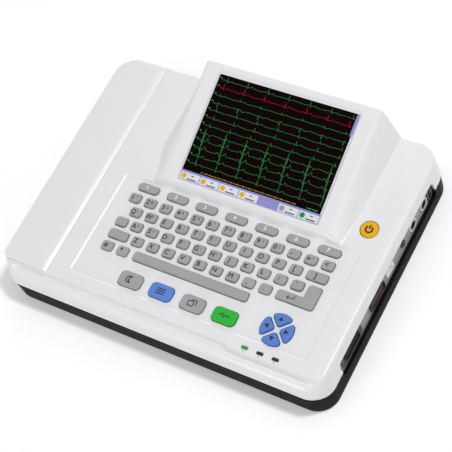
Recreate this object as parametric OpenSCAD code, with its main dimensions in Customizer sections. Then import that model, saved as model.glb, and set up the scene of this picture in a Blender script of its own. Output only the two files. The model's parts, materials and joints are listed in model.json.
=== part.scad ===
// Desktop ECG machine: a white moulded cover with a tilted touch screen and a keyboard,
// on a dark base tray.
// A strip printer lies under the hinged lid along the left side. The connectors are in the right side.
// The origin is on the table under the middle of the body, with X to the right, Y to the back and Z up.

/* [Body] */
// Width of the white cover
body_w = 388; // [350:1:430]
// Depth of the white cover
body_d = 285; // [257:1:320]
// Plan radius of the upright corners
corner_r = 24; // [18:1:26]
// Thickness of the moulded walls
wall = 2.5; // [2:0.1:3]
// Height of the rubber feet below the base
foot_h = 4; // [3:0.5:8]
// Radius of the rubber feet
foot_r = 9; // [6:0.5:11]
// Height of the base tray from the underside of its floor
base_h = 24; // [23:0.5:30]
// How far the base stands in from the cover
base_inset = 0.5; // [0.5:0.5:1.5]
// Thickness of the base's side walls
base_wall = 4; // [3.5:0.5:4.5]
// Height of the base's lower edge above the table
skirt_gap = 1.5; // [1:0.5:2.5]
// Height of the keyboard deck above the base tray
deck_rise = 30; // [29:0.5:40]
// Height of the front lip above the base tray
lip_rise = 22; // [14:1:25]
// How far the front lip leans back
lip_run = 7; // [4:0.5:8]
// Depth of the cove between the lip and the deck
cove_run = 6.5; // [4:0.5:7]
// How far the side walls lean in
side_lean = 3; // [1:0.5:4]
// How far the back wall leans in
back_lean = 1; // [0.5:0.5:3]
// Chamfer along the right edge of the deck
edge_c = 5; // [2:0.5:8]

/* [Screen] */
// Tilt of the screen from level, degrees
screen_tilt = 16; // [12:0.5:20]
// Height of the bezel above the deck at the lower edge of the screen
screen_rise = 9; // [8:0.5:12]
// Distance of the screen from the keyboard panel
screen_gap = 9.5; // [9:0.5:10]
// How far the screen stands right of the keyboard panel's middle
screen_shift = 3.5; // [0:0.5:6]
// Width of the bezel beside the screen
bezel_side = 18; // [17:0.5:22]
// How far the top of the screen housing stands in from the keyboard panel's ends
house_in = 38; // [36:0.5:42]
// Width of the bezel above the screen
bezel_high = 11.3; // [8:0.1:14]
// Width of the bezel below the screen
bezel_low = 5; // [4:0.5:6]
// Run of the left flank
flank_left = 21.5; // [16:0.5:24]
// Run of the right flank
flank_right = 15; // [10:0.5:18]
// Thickness of the touch panel
touch_t = 2; // [1.5:0.1:3]
// Thickness of the display module
lcd_t = 7; // [5:0.5:8]

/* [Keyboard] */
// Gap between letter keys along a row
key_space = 5; // [4:0.1:6]
// Distance between key rows
row_pitch = 14.9; // [14:0.1:15.2]
// Depth of a letter key
key_d = 11; // [9:0.5:11.5]
// Corner radius of a letter key
key_r = 3; // [1.5:0.5:4]
// Height of the keys above the deck
key_rise = 2; // [1.5:0.5:5]
// Travel of a key
key_travel = 1.5; // [1:0.1:2]
// Clearance around a key in its hole
key_gap = 0.35; // [0.25:0.05:0.5]
// Gap between function keys
fkey_space = 10.1; // [8:0.1:12]
// Depth of a function key
fkey_d = 10; // [8:0.5:11]
// Gap between large keys
big_space = 9.7; // [8:0.1:12]
// Depth of a large key
big_d = 17; // [14:0.5:18]
// Radius of the four-way pad
pad_r = 17.3; // [14:0.1:18]
// Gap between the pad's sectors
pad_gap = 2.4; // [2.4:0.1:3]
// Radius of the power button
power_r = 9.3; // [8:0.1:10]
// Height of the power button above the deck
power_rise = 1; // [0.5:0.5:3]
// Free margin between the outer keys and the panel line
panel_pad = 17; // [15:0.5:18]
// Width of the deck between the printer lid and the panel line
panel_lead = 27; // [25:0.5:30]
// Width of the deck to the right of the panel line
panel_margin = 27; // [26:0.5:30]
// Depth of the body in front of the panel line
panel_front = 27; // [26:0.5:30]

/* [Printer] */
// Width of the strip that the printer takes up on the left
bay_w = 58; // [57:0.5:60]
// Depth of the body in front of the chart paper
paper_front = 37.5; // [36:0.5:42]
// Depth of the body behind the chart paper, with the gears and the motor
paper_back = 37.5; // [37:0.5:45]
// Radius of a full paper roll
roll_r = 19; // [14:0.5:19.5]
// Radius of the platen's rubber
platen_r = 6; // [5:0.1:6.2]
// Radius of the platen's shaft
shaft_r = 3; // [2:0.1:3.5]
// Thickness of the printer lid
lid_t = 3; // [2.5:0.1:3.5]
// Radius of the lid's hinge pins
pin_r = 1; // [0.8:0.1:1.2]
// Module of the printer's gears
gear_m = 0.5; // [0.45:0.01:0.52]
// Teeth of the platen gear
platen_teeth = 36; // [30:1:38]
// Teeth of the idler gear
idler_teeth = 40; // [34:1:42]
// Teeth of the motor pinion
pinion_teeth = 16; // [14:1:20]
// Radius of the drive motor
motor_r = 15; // [10:0.5:15.5]

/* [Inside] */
// Width of the battery pack
battery_w = 118; // [90:1:122]
// Depth of the battery pack
battery_d = 74; // [60:1:76]
// Height of the battery pack
battery_h = 20; // [14:0.5:24]
// Width of the power supply
supply_w = 110; // [80:1:112]
// Depth of the power supply
supply_d = 88; // [60:1:90]
// Height of the power supply
supply_h = 28; // [20:1:30]
// Thickness of the circuit boards
board_t = 1.6; // [1:0.1:2]
// Radius of the speaker
speaker_r = 18; // [12:0.5:20]

/* [Connectors] */
// Distance of the side opening from the back
side_back = 31.5; // [28:0.5:36]
// Height of the side opening
side_h = 25.5; // [24:0.5:27]
// Height of the middle of the side opening above the base's floor
side_z = 25.5; // [24:0.5:26]
// Distance of the side opening from the front
side_front = 40; // [38:0.5:46]
// Length of the opening for the rear panel
rear_l = 122; // [118:1:130]

/* [Hidden] */
$fn = 48;

// Clearances: between fixed pieces, beside moving ones, and radially in a running fit
fit = 0.1;
run_gap = 0.3;
shaft_gap = 0.05;
// Overlap that joins two shapes of one solid or carries a cut past a face
lap = 1;

// Levels
base_z = foot_h;
base_in = base_inset + base_wall;
floor_z = foot_h + wall;
part_z = foot_h + base_h;
deck_z = part_z + deck_rise;
under_z = deck_z - wall;
tall = 3 * deck_z;

// Plan
left_x = -body_w / 2;
right_x = body_w / 2;
front_y = -body_d / 2;
back_y = body_d / 2;
deck_y0 = front_y + lip_run + cove_run;
deck_y1 = back_y - back_lean;

// Keyboard plan: the large keys, the space bar row, four rows behind it, then the function keys
big_front = 13.4;
big_behind = 26;
fkey_behind = 14.8;
fkey_back = 9;
panel_x1 = right_x - panel_margin;
panel_w = panel_x1 - left_x - bay_w - panel_lead;
block_w = panel_w - 2 * panel_pad;
key_pitch = (block_w + key_space) / 13;
key_w = key_pitch - key_space;
caps_w = key_w + 0.5;
enter_stem = key_w + 1;
shift_w = key_pitch + 5;
wide_w = key_pitch + 4.5;
enter_w = 2 * key_pitch + 4.3;
space_w = 7 * key_pitch + 3.5;
fkey_pitch = (block_w + fkey_space - 2.9) / 7;
fkey_w = fkey_pitch - fkey_space;
big_pitch = 2 * key_pitch - 0.8;
big_w = big_pitch - big_space;
panel_cx = panel_x1 - panel_w / 2;
key_shift = -1;
fkey_shift = 1.4;
key_x = panel_cx + key_shift;
key_left = key_x - 6 * key_pitch - key_w / 2;
key_right = key_x + 6 * key_pitch + key_w / 2;
panel_y0 = front_y + panel_front;
big_y = panel_y0 + big_front;
space_y = big_y + big_behind;
fkey_y = space_y + 4 * row_pitch + fkey_behind;
panel_y1 = fkey_y + fkey_back;
panel_r = 4;
panel_left = 2.5;
line_w = 1.2;
line_t = 0.5;
pad_in = 23.7;
pad_front = 19.8;
pad_x = key_right - pad_in;
pad_y = panel_y0 + pad_front;
power_in = 31.3;
power_behind = 26.5;
power_x = right_x - power_in;
power_y = panel_y1 + power_behind;
lens_w = 7.5;
lens_d = 3.6;
lens_pitch = 17;
lens_x = pad_x - 3.8;
lens_y = panel_y0 - 8.7;

// Key stack, from the deck down: cap and flange, key mat, keypad board
flange_w = 0.8;
flange_t = 1.6;
mat_t = 1.6;
key_z = under_z - run_gap - flange_t;
mat_z = key_z - key_travel - run_gap - mat_t;
keypad_z = mat_z - board_t;
keypad_margin = 3;
key_post_r = 3;

// Screen stack, along the bezel's own normal
screen_y0 = panel_y1 + screen_gap;
screen_z0 = deck_z + screen_rise;
screen_cx = panel_cx + screen_shift;
bezel_half = panel_w / 2 - house_in;
screen_w = 2 * (bezel_half - bezel_side);
screen_l = (deck_y1 - screen_y0) / cos(screen_tilt) - bezel_high;
bezel_y0 = screen_y0 - bezel_low * cos(screen_tilt);
bezel_z0 = screen_z0 - bezel_low * sin(screen_tilt);
function bezel_z(y) = screen_z0 + (y - screen_y0) * tan(screen_tilt);
bezel_t = 1 / cos(screen_tilt);
flank_front = 9;
fade_l = 40;
house_gap = 0.6;
house_y0 = panel_y1 + house_gap;
rim = 1.5;
screen_side = 5;
screen_below = 2;
bracket_t = 1.2;
touch_z = -wall - fit - touch_t;
lcd_z = touch_z - fit - lcd_t;
bracket_z = lcd_z - fit - bracket_t;
// The stack reaches past the window's top edge as far as the back wall leaves room
screen_above = min(2, bezel_high - wall / cos(screen_tilt) + bracket_z * tan(screen_tilt) - run_gap);

// Printer, seen along Y
hinge_x = left_x + bay_w;
barrel_r = pin_r + 1;
knuckle_l = 20;
lug_l = 6;
notch_l = knuckle_l + 2 * run_gap;
hinge_ys = [-70, 70];
lid_z = deck_z + 0.2;
lid_x0 = left_x + side_lean;
lid_x1 = hinge_x - barrel_r - run_gap;
lid_y0 = deck_y0 + 2;
lid_y1 = deck_y1 - 5;
lid_back_r = 20;
lid_edge = 1;
lid_step = 8;
lid_front_r = 8;
bay_x0 = left_x + 8;
bay_x1 = hinge_x - 5;
frame_t = 2;
paper_w = body_d - paper_front - paper_back;
paper_y = (paper_front - paper_back) / 2;
frame_x0 = left_x + base_in + 1;
frame_x1 = hinge_x - 1;
end_y = paper_w / 2 + 5;
bay_y = end_y + frame_t + 1;
frame_top = under_z - 2;
slot_z = deck_z - 5;
slot_y = paper_w / 2 + 2;
platen_x = left_x + 14;
platen_z = deck_z - 12;
bush_r = shaft_r + 2;
roll_room = 20;
roll_x = frame_x1 - frame_t - roll_room;
roll_z = floor_z + frame_t + roll_room;
core_r = 6.5;
stub_r = 3;
gear_w = 5;
gear_y = end_y + frame_t + 1.5;
plate_y = gear_y + gear_w + 1.5;
idler_pin_r = 2;
strip_w = 12;
sink_w = 20;
sink_t = 3;
motor_shaft_r = 1.5;
motor_l = 14;
motor_in = 8;
idler_angle = -20;
pinion_angle = -70;
function pitch_r(teeth) = gear_m * teeth / 2;
idler_c = [platen_x, platen_z]
    + (pitch_r(platen_teeth) + pitch_r(idler_teeth)) * [cos(idler_angle), sin(idler_angle)];
pinion_c = idler_c
    + (pitch_r(idler_teeth) + pitch_r(pinion_teeth)) * [cos(pinion_angle), sin(pinion_angle)];

// Fasteners and bosses
boss_r = 4.5;
boss_in = 14;
mid_in = 13;
screw_r = 1.5;
screw_head_r = 2.8;
screw_head_t = 2;
screw_clear = 0.2;
cover_sink = 8;
cover_grip = 10;
boss_points = [for (sx = [-1, 1]) for (sy = [-1, 1])
    [sx * (right_x - boss_in), sy * (back_y - boss_in)]];
foot_points = [for (sx = [-1, 1]) for (sy = [-1, 1]) [sx * (right_x - 34), sy * (back_y - 34)]];

// Inside plan
door_margin = 3;
battery_c = [key_left - 6 + battery_w / 2, panel_y0 + 8 + battery_d / 2];
door_w = battery_w + 2 * door_margin;
door_d = battery_d + 2 * door_margin;
tab_w = 14;
tab_l = 10;
tab_t = 1.2;
door_grip = 8;
door_boss = 10;
supply_c = [hinge_x + 12 + supply_w / 2, back_y - 34 - supply_d / 2];
main_z = floor_z + 5.5;
main_side = 11;
main_back = 32;
stand_r = 3;
stand_in = 6;
speaker_h = 12;
speaker_c = [key_x + 32, front_y + 41];
main_x0 = battery_c.x + battery_w / 2 + 6;
main_y0 = speaker_c.y + speaker_r + 24;
main_w = right_x - main_side - main_x0;
main_d = back_y - main_back - main_y0;
main_c = [main_x0 + main_w / 2, main_y0 + main_d / 2];
chip = [34, 34, 9];
chip_small = [22, 22, 3];
header = [40, 14, 6];

// Connector panels: each plate lies behind the walls, larger than its opening. The right one
// also clears the inside of the leaning cover wall at its top edge
side_cz = base_z + side_z;
side_r = 6;
plate_t = 2;
plate_over = 2;
side_top = side_cz + side_h / 2 + plate_over;
side_l = body_d - side_front - side_back;
side_cy = front_y + side_front + side_l / 2;
cover_in = wall + side_lean * (side_top - part_z) / (deck_z - edge_c - wall - part_z);
side_x = right_x - max(base_in + run_gap, cover_in + fit);
rear_h = 30;
rear_cx = supply_c.x;
mid_x = rear_cx + rear_l / 2 + 20;
mid_points = [for (sy = [-1, 1]) [mid_x, sy * (back_y - mid_in)]];
rear_y = back_y - base_in - run_gap;
rear_cz = base_z + 23;
rear_top = rear_cz + rear_h / 2 + plate_over;
patient_in = 27.5;
socket_in = 20;
card_in = 7;
patient_y = side_cy - side_l / 2 + patient_in;
side_span = side_l - patient_in - socket_in;
serial_y = patient_y + 0.343 * side_span;
data_y = patient_y + 0.527 * side_span;
jack_y = patient_y + 0.711 * side_span;
socket_ys = [patient_y + 0.849 * side_span, patient_y + side_span];
card_y = side_cy + side_l / 2 - card_in;
patient_size = [43, 14];
serial_size = [31, 13];
data_size = [16, 9];
patient_hole = [30, 9];
serial_hole = [18, 8];
data_hole = [9.5, 5];
card_hole = [2.4, 16];
plug_l = 14;
hole_l = 6;
data_l = 10;
jack_l = 8;
socket_l = 9;
card_l = 8;
shell = 1.6;
shell_l = wall;
card_size = [8, 21];
socket_r = 7;
socket_bore = 3.6;
jack_r = 4.2;
jack_bore = 1.8;
flange_d = 1.2;
body_in = [4, 2];
inlet_size = [32, 24];
inlet_in = [4, 4];
inlet_t = 2;
inlet_l = 20;
inlet_hole = [24.4, 16.6];
inlet_deep = 16;
blade = [2, 4];
blade_pitch = 7;
blade_l = 14;
inlet_x = rear_cx - rear_l / 2 + 24;
switch_size = [18, 24];
switch_in = [3, 3];
switch_l = 14;
switch_deep = 11;
rocker_room = 3;
switch_x = inlet_x + 38;
rocker_w = 9;
rocker_l = 17;
rocker_pin = 1.5;
rocker_in = 1;
rocker_tilt = 9;
stud_x = switch_x + 34;
stud_r = 3;

// Points of an arc, and of a rectangle with round corners
function arc(c, r, a0, a1, n) =
    [for (i = [0:n]) c + r * [cos(a0 + (a1 - a0) * i / n), sin(a0 + (a1 - a0) * i / n)]];
function round_rect(w, d, r, n) = concat(
    arc([w / 2 - r, d / 2 - r], r, 0, 90, n), arc([r - w / 2, d / 2 - r], r, 90, 180, n),
    arc([r - w / 2, r - d / 2], r, 180, 270, n), arc([w / 2 - r, r - d / 2], r, 270, 360, n));

// Upright plate with round corners
module plate(w, d, r, h, n = 6) {
    linear_extrude(h) polygon(round_rect(w, d, r, n));
}

// Outline in Y and Z, drawn out along X from x
module along_x(x, l) {
    translate([x, 0, 0]) rotate([90, 0, 90]) linear_extrude(l) children();
}

// Outline in X and Z, drawn out along Y from y
module along_y(y, l) {
    translate([0, y + l, 0]) rotate([90, 0, 0]) linear_extrude(l) children();
}

// Round bar along Z
module rod_z(p, z, r, h) {
    translate([p.x, p.y, z]) cylinder(r = r, h = h);
}

// Round bar along Y
module rod_y(x, z, r, y, l) {
    translate([x, y, z]) rotate([-90, 0, 0]) cylinder(r = r, h = l);
}

// Round bar along X
module rod_x(y, z, r, x, l) {
    translate([x, y, z]) rotate([0, 90, 0]) cylinder(r = r, h = l);
}

// Round-cornered plate that faces the right side, from x outwards
module side_plate(y, z, size, r, x, l) {
    translate([x, y, z]) rotate([90, 0, 90]) plate(size.x, size.y, r, l, 3);
}

// Round-cornered plate that faces the back, from y outwards
module back_plate(x, z, size, r, y, l) {
    translate([x, y + l, z]) rotate([90, 0, 0]) plate(size.x, size.y, r, l, 3);
}

// Frame of the bezel: origin at the middle of the screen's lower edge, Y up the slope, Z outwards
module on_screen() {
    translate([screen_cx, screen_y0, screen_z0]) rotate([screen_tilt, 0, 0]) children();
}

// Place of the printer: the middle of the chart paper
module in_bay() {
    translate([0, paper_y, 0]) children();
}

// Deck part of the cover, drawn in by t; the inner one runs on below the cover
module deck_solid(t) {
    low = t > 0 ? part_z - lap : part_z;
    intersection() {
        translate([0, 0, low]) plate(body_w - 2 * t, body_d - 2 * t, corner_r - t, tall);
        along_x(left_x - lap, body_w + 2 * lap) polygon([
            [front_y + t, low], [front_y + t, part_z], [front_y + lip_run + t, part_z + lip_rise],
            [deck_y0 + t, deck_z - t], [deck_y1 - t, deck_z - t], [back_y - t, part_z],
            [back_y - t, low]]);
        along_y(front_y - lap, body_d + 2 * lap) polygon([
            [left_x + t, low], [left_x + t, part_z], [left_x + side_lean + t, deck_z - t],
            [right_x - side_lean - edge_c - t, deck_z - t],
            [right_x - side_lean - t, deck_z - edge_c - t], [right_x - t, part_z], [right_x - t, low]]);
    }
}

// Point of a solid that is stretched over its corners
module corner(p) {
    translate(p) cube(0.02, center = true);
}

// Screen housing above the deck, drawn in by t; the feet of its flanks draw in towards the keyboard
module housing_solid(t) {
    flank_t = 1.2 * t;
    low = t > 0 ? under_z - lap : deck_z - wall / 2;
    foot = deck_z - t;
    x0 = screen_cx - bezel_half + flank_t;
    x1 = screen_cx + bezel_half - flank_t;
    back = deck_y1 - t;
    hull() {
        for (y = [bezel_y0 + t, back], x = [x0, x1]) corner([x, y, bezel_z(y) - bezel_t * t]);
        for (z = [low, foot]) {
            for (x = [x0 - flank_front, x1 + flank_front]) corner([x, house_y0 + t, z]);
            for (y = [screen_y0 + fade_l, back], x = [x0 - flank_left, x1 + flank_right]) corner([x, y, z]);
        }
    }
}

// Keys, each as [x, y, width, depth]
function row_y(i) = space_y + (4 - i) * row_pitch;
function letter(i, row) = [key_x + i * key_pitch, row_y(row), key_w, key_d];
function_list = [for (i = [-3:3]) [key_x + fkey_shift + i * fkey_pitch, fkey_y, fkey_w, fkey_d]];
digit_list = [for (i = [-6:6]) letter(i, 0)];
upper_list = concat([for (i = [-5.5:1:4.5]) letter(i, 1)],
    [[key_right - wide_w / 2, row_y(1), wide_w, key_d]]);
middle_list = concat([[key_left + caps_w / 2, row_y(2), caps_w, key_d]],
    [for (i = [-5:5]) letter(i, 2)]);
lower_list = concat([[key_left + shift_w / 2, row_y(3), shift_w, key_d]],
    [for (i = [-4.5:1:3.5]) letter(i, 3)]);
small_list = [for (i = [-6, -5]) letter(i, 4)];
space_start = key_x - 4.3 * key_pitch;
space_list = [[space_start + space_w / 2, space_y, space_w, key_d]];
big_start = key_x - 3.7 * key_pitch + 0.5;
big_list = [for (i = [0:3]) [big_start + i * big_pitch, big_y, big_w, big_d]];
big_r = 5;

// Outline of one plain key, grown by g
module key_outline(k, r, g) {
    translate([k[0], k[1]]) polygon(round_rect(k[2] + 2 * g, k[3] + 2 * g, r + g, 3));
}

// Outline of the L-shaped enter key, grown by g
module enter_outline(g) {
    reach = row_pitch + key_d;
    key_outline([key_right - enter_w / 2, row_y(3), enter_w, key_d], key_r, g);
    stem_y = row_y(3) - key_d / 2 + reach / 2;
    key_outline([key_right - enter_stem / 2, stem_y, enter_stem, reach], key_r, g);
}

// Outline of one sector of the four-way pad, grown by g and turned by a
module pad_outline(a, g) {
    far = 2 * pad_r;
    near = pad_gap - g * sqrt(2);
    translate([pad_x, pad_y]) rotate(a) intersection() {
        circle(r = pad_r + g);
        polygon([[near, 0], [far, near - far], [far, far - near]]);
    }
}

// Outline of the round power button, grown by g
module power_outline(g) {
    translate([power_x, power_y]) circle(r = power_r + g);
}

// Key cap through the deck, held in by a flange below it; takes the outline and its wider copy
module cap(rise = key_rise) {
    translate([0, 0, key_z]) linear_extrude(deck_z + rise - key_z) children(0);
    translate([0, 0, key_z]) linear_extrude(flange_t) children(1);
}

// Row of plain keys
module caps(list, r) {
    for (k = list) {
        cap() {
            key_outline(k, r, 0);
            key_outline(k, r, flange_w);
        }
    }
}

// Holes for all the keys
module key_holes() {
    translate([0, 0, under_z - lap]) linear_extrude(wall + 2 * lap) {
        for (k = concat(digit_list, upper_list, middle_list, lower_list, small_list, space_list)) {
            key_outline(k, key_r, key_gap);
        }
        for (k = function_list) key_outline(k, fkey_d / 2, key_gap);
        for (k = big_list) key_outline(k, big_r, key_gap);
        for (a = [0:90:270]) pad_outline(a, key_gap);
        enter_outline(key_gap);
        power_outline(key_gap);
    }
}

// Places of the posts that hold the keypad board, and of the posts that hold the screen, up the slope
key_post_points = [for (x = [key_left - 10, key_right + 7])
    for (y = [big_y - 3, row_y(3), fkey_y + 1]) [x, y]];
screen_post_points = [for (sx = [-1, 1]) for (y = [10, screen_l - 10]) [sx * (screen_w / 2 + 11), y]];
main_points = [for (sx = [-1, 1]) for (sy = [-1, 1])
    main_c + [sx * (main_w / 2 - stand_in), sy * (main_d / 2 - stand_in)]];
door_points = [for (sx = [-1, 1]) battery_c + [sx * (door_w / 2 + tab_l / 2), 0]];

// Lens places: the power lens and the two status lenses
module lens(i, g, z, h) {
    translate([lens_x + i * lens_pitch, lens_y, z]) plate(lens_w + 2 * g, lens_d + 2 * g, 1.2 + g, h, 3);
}

module base_tray() {
    color("#2d2428") difference() {
        union() {
            difference() {
                translate([0, 0, skirt_gap])
                    plate(body_w - 2 * base_inset, body_d - 2 * base_inset,
                        corner_r - base_inset, part_z - skirt_gap);
                for (z = [base_z - base_h, floor_z]) translate([0, 0, z])
                    plate(body_w - 2 * base_in, body_d - 2 * base_in, corner_r - base_in, base_h);
            }
            for (p = concat(boss_points, mid_points)) {
                rod_z(p, base_z + wall / 2, boss_r, part_z - base_z - wall / 2);
            }
            for (p = main_points) {
                rod_z(p, base_z + wall / 2, stand_r, main_z - base_z - wall / 2);
            }
            for (p = door_points) {
                rod_z(p, base_z + wall / 2, boss_r, door_boss);
            }
        }
        for (p = concat(boss_points, mid_points)) {
            rod_z(p, base_z - lap, screw_r + screw_clear, base_h + 2 * lap);
            rod_z(p, base_z - lap, screw_head_r + screw_clear, cover_sink + lap);
        }
        for (p = main_points) {
            rod_z(p, floor_z, screw_r + fit / 2, main_z);
        }
        for (p = foot_points) {
            rod_z(p, base_z - lap, foot_r + fit, lap + wall / 2.5);
        }
        translate([battery_c.x, battery_c.y, base_z - lap]) plate(door_w, door_d, 3, wall + 2 * lap, 3);
        translate([battery_c.x, battery_c.y, base_z - lap])
            plate(door_w + 2 * tab_l + 2 * run_gap, tab_w + 2 * run_gap, 3, lap + tab_t + fit, 3);
        for (p = door_points) {
            rod_z(p, base_z - lap, screw_r + fit / 2, lap + door_boss);
        }
        for (i = [-2:2]) {
            translate([speaker_c.x + i * 6, speaker_c.y, base_z - lap])
                plate(2.6, speaker_r * 1.3, 1.2, wall + 2 * lap, 3);
        }
        side_plate(side_cy, side_cz, [side_l, side_h], side_r, side_x - lap, base_in + 3);
        back_plate(rear_cx, rear_cz, [rear_l, rear_h], side_r, rear_y - lap, base_in + 3);
    }
}

module top_cover() {
    color("#f2f2f2") difference() {
        union() {
            difference() {
                union() {
                    deck_solid(0);
                    housing_solid(0);
                }
                deck_solid(wall);
                housing_solid(wall);
            }
            intersection() {
                deck_solid(wall / 2);
                union() {
                    for (p = concat(boss_points, mid_points)) {
                        rod_z(p, part_z, boss_r, deck_rise);
                    }
                    for (p = mid_points) {
                        translate([p.x - wall / 2, p.y > 0 ? p.y : front_y, part_z])
                            cube([wall, mid_in, lip_rise]);
                    }
                }
            }
            for (p = key_post_points) {
                rod_z(p, keypad_z + board_t, key_post_r, deck_z - keypad_z - board_t - lap);
            }
            on_screen() for (p = screen_post_points) {
                rod_z(p, bracket_z + bracket_t, key_post_r, -bracket_z - bracket_t - lap);
            }
            for (y = hinge_ys) for (s = [-1, 1]) {
                lug_y = y + s * (knuckle_l / 2 + run_gap + lug_l / 2) - lug_l / 2;
                rod_y(hinge_x, deck_z, barrel_r, lug_y, lug_l);
            }
        }
        for (p = concat(boss_points, mid_points)) {
            rod_z(p, part_z - lap, screw_r + fit / 2, cover_grip + lap + 1);
        }
        for (p = key_post_points) {
            rod_z(p, keypad_z, screw_r + fit / 2, board_t + 5);
        }
        on_screen() {
            for (p = screen_post_points) {
                rod_z(p, bracket_z, screw_r + fit / 2, bracket_t + 5);
            }
            translate([0, screen_l / 2, -2 * wall]) plate(screen_w, screen_l, 1.5, 4 * wall, 3);
            translate([0, screen_l / 2, -wall / 2])
                plate(screen_w + 2 * rim, screen_l + 2 * rim, 3, 2 * wall, 3);
        }
        key_holes();
        for (i = [-1:1]) lens(i, fit, under_z - lap, wall + 2 * lap);
        translate([panel_cx - panel_left / 2, (panel_y0 + panel_y1) / 2, deck_z - line_t]) difference() {
            plate(panel_w + panel_left, panel_y1 - panel_y0, panel_r, lap);
            translate([0, 0, -lap])
                plate(panel_w + panel_left - 2 * line_w, panel_y1 - panel_y0 - 2 * line_w,
                    panel_r - line_w, 3 * lap);
        }
        in_bay() {
            translate([bay_x0, -bay_y, under_z - lap])
                cube([bay_x1 - bay_x0, 2 * bay_y, wall + 2 * lap]);
            translate([left_x - lap, -slot_y, slot_z])
                cube([bay_x0 - left_x + 2 * lap, 2 * slot_y, deck_z]);
        }
        for (y = hinge_ys) {
            rod_y(hinge_x, deck_z, barrel_r + run_gap, y - notch_l / 2, notch_l);
            translate([hinge_x - barrel_r - run_gap, y - notch_l / 2, under_z - lap])
                cube([2 * (barrel_r + run_gap), notch_l, wall + lap]);
            rod_y(hinge_x, deck_z, pin_r + shaft_gap, y - knuckle_l, 2 * knuckle_l);
        }
        side_plate(side_cy, side_cz, [side_l, side_h], side_r, side_x - lap, base_in + 3);
        back_plate(rear_cx, rear_cz, [rear_l, rear_h], side_r, rear_y - lap, base_in + 3);
    }
}

module paper_lid() {
    color("#f4f4f4") difference() {
        union() {
            intersection() {
                translate([0, 0, lid_z]) linear_extrude(lid_t) polygon(concat(
                    [[lid_x1, lid_y0], [lid_x1, lid_y1]],
                    arc([lid_x0 + lid_back_r, lid_y1 - lid_back_r], lid_back_r, 90, 180, 6),
                    arc([lid_x0 + lid_front_r, lid_y0 + lid_front_r], lid_front_r, 180, 270, 4)));
                along_y(lid_y0 - lap, lid_y1 - lid_y0 + 2 * lap) polygon([
                    [lid_x0, lid_z - lap], [lid_x1, lid_z - lap], [lid_x1, lid_z + lid_edge],
                    [lid_x1 - lid_step, lid_z + lid_t], [lid_x0 + lid_edge, lid_z + lid_t],
                    [lid_x0, lid_z + lid_t - lid_edge]]);
            }
            for (y = hinge_ys) {
                rod_y(hinge_x, deck_z, barrel_r, y - knuckle_l / 2, knuckle_l);
                translate([lid_x1 - lap, y - knuckle_l / 2, lid_z])
                    cube([hinge_x - lid_x1 + lap, knuckle_l, barrel_r - 0.4]);
            }
        }
        for (y = hinge_ys) {
            rod_y(hinge_x, deck_z, pin_r + shaft_gap, y - knuckle_l, 2 * knuckle_l);
        }
    }
}

module lid_hinge_pins() {
    color("#b8bcc0") for (y = hinge_ys) {
        rod_y(hinge_x, deck_z, pin_r, y - notch_l / 2 - lug_l, notch_l + 2 * lug_l);
    }
}

module battery_door() {
    color("#2d2428") difference() {
        translate([battery_c.x, battery_c.y, base_z]) {
            plate(door_w - 2 * run_gap, door_d - 2 * run_gap, 3, wall, 3);
            plate(door_w + 2 * tab_l, tab_w, 3, tab_t, 3);
        }
        for (p = door_points) rod_z(p, base_z - lap, screw_r + screw_clear, wall + 2 * lap);
    }
}

module door_screws() {
    color("#8a8d90") for (p = door_points) translate([p.x, p.y, base_z - screw_head_t]) {
        cylinder(r = screw_head_r, h = screw_head_t);
        cylinder(r = screw_r, h = screw_head_t + door_grip);
    }
}

module battery_pack() {
    color("#3a4a66") translate([battery_c.x, battery_c.y, floor_z + run_gap])
        plate(battery_w, battery_d, 4, battery_h);
}

module rubber_feet() {
    color("#1c1c1c") for (p = foot_points) translate([p.x, p.y, 0]) {
        cylinder(r = foot_r - 0.5, h = lap);
        translate([0, 0, lap / 2]) cylinder(r = foot_r, h = foot_h + wall / 2.5 - lap / 2);
    }
}

module cover_screws() {
    head_z = base_z + cover_sink - screw_head_t;
    color("#8a8d90") for (p = concat(boss_points, mid_points)) {
        rod_z(p, head_z, screw_head_r, screw_head_t);
        rod_z(p, head_z, screw_r, part_z + cover_grip - head_z);
    }
}

// Board screw: pan head under or over a board, shank through it into a post
module board_screw(grip) {
    cylinder(r = screw_head_r, h = screw_head_t);
    cylinder(r = screw_r, h = screw_head_t + grip);
}

module board_screws() {
    color("#a0a4a8") {
        for (p = key_post_points) translate([p.x, p.y, keypad_z - screw_head_t]) board_screw(board_t + 4);
        on_screen() for (p = screen_post_points) {
            translate([p.x, p.y, bracket_z - screw_head_t]) board_screw(bracket_t + 4);
        }
        for (p = main_points) {
            translate([p.x, p.y, main_z + board_t + screw_head_t]) mirror([0, 0, 1])
                board_screw(board_t + 4);
        }
    }
}

// Plate of the screen stack, between local heights z and z + t
module screen_plate(grow, z, t) {
    on_screen() translate([0, (screen_l + screen_above - screen_below) / 2, z])
        plate(screen_w + 2 * screen_side + 2 * grow, screen_l + screen_above + screen_below, 2, t, 3);
}

module touch_panel() {
    color("#1a1d22") screen_plate(0, touch_z, touch_t);
}

module lcd_module() {
    color("#c8ccd0") screen_plate(0, lcd_z, lcd_t);
}

module lcd_bracket() {
    color("#b8bcc0") difference() {
        screen_plate(10, bracket_z, bracket_t);
        on_screen() {
            translate([0, screen_l / 2, bracket_z - lap])
                plate(screen_w - 24, screen_l - 30, 6, bracket_t + 2 * lap, 3);
            for (p = screen_post_points) {
                rod_z(p, bracket_z - lap, screw_r + screw_clear, bracket_t + 2 * lap);
            }
        }
    }
}

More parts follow.
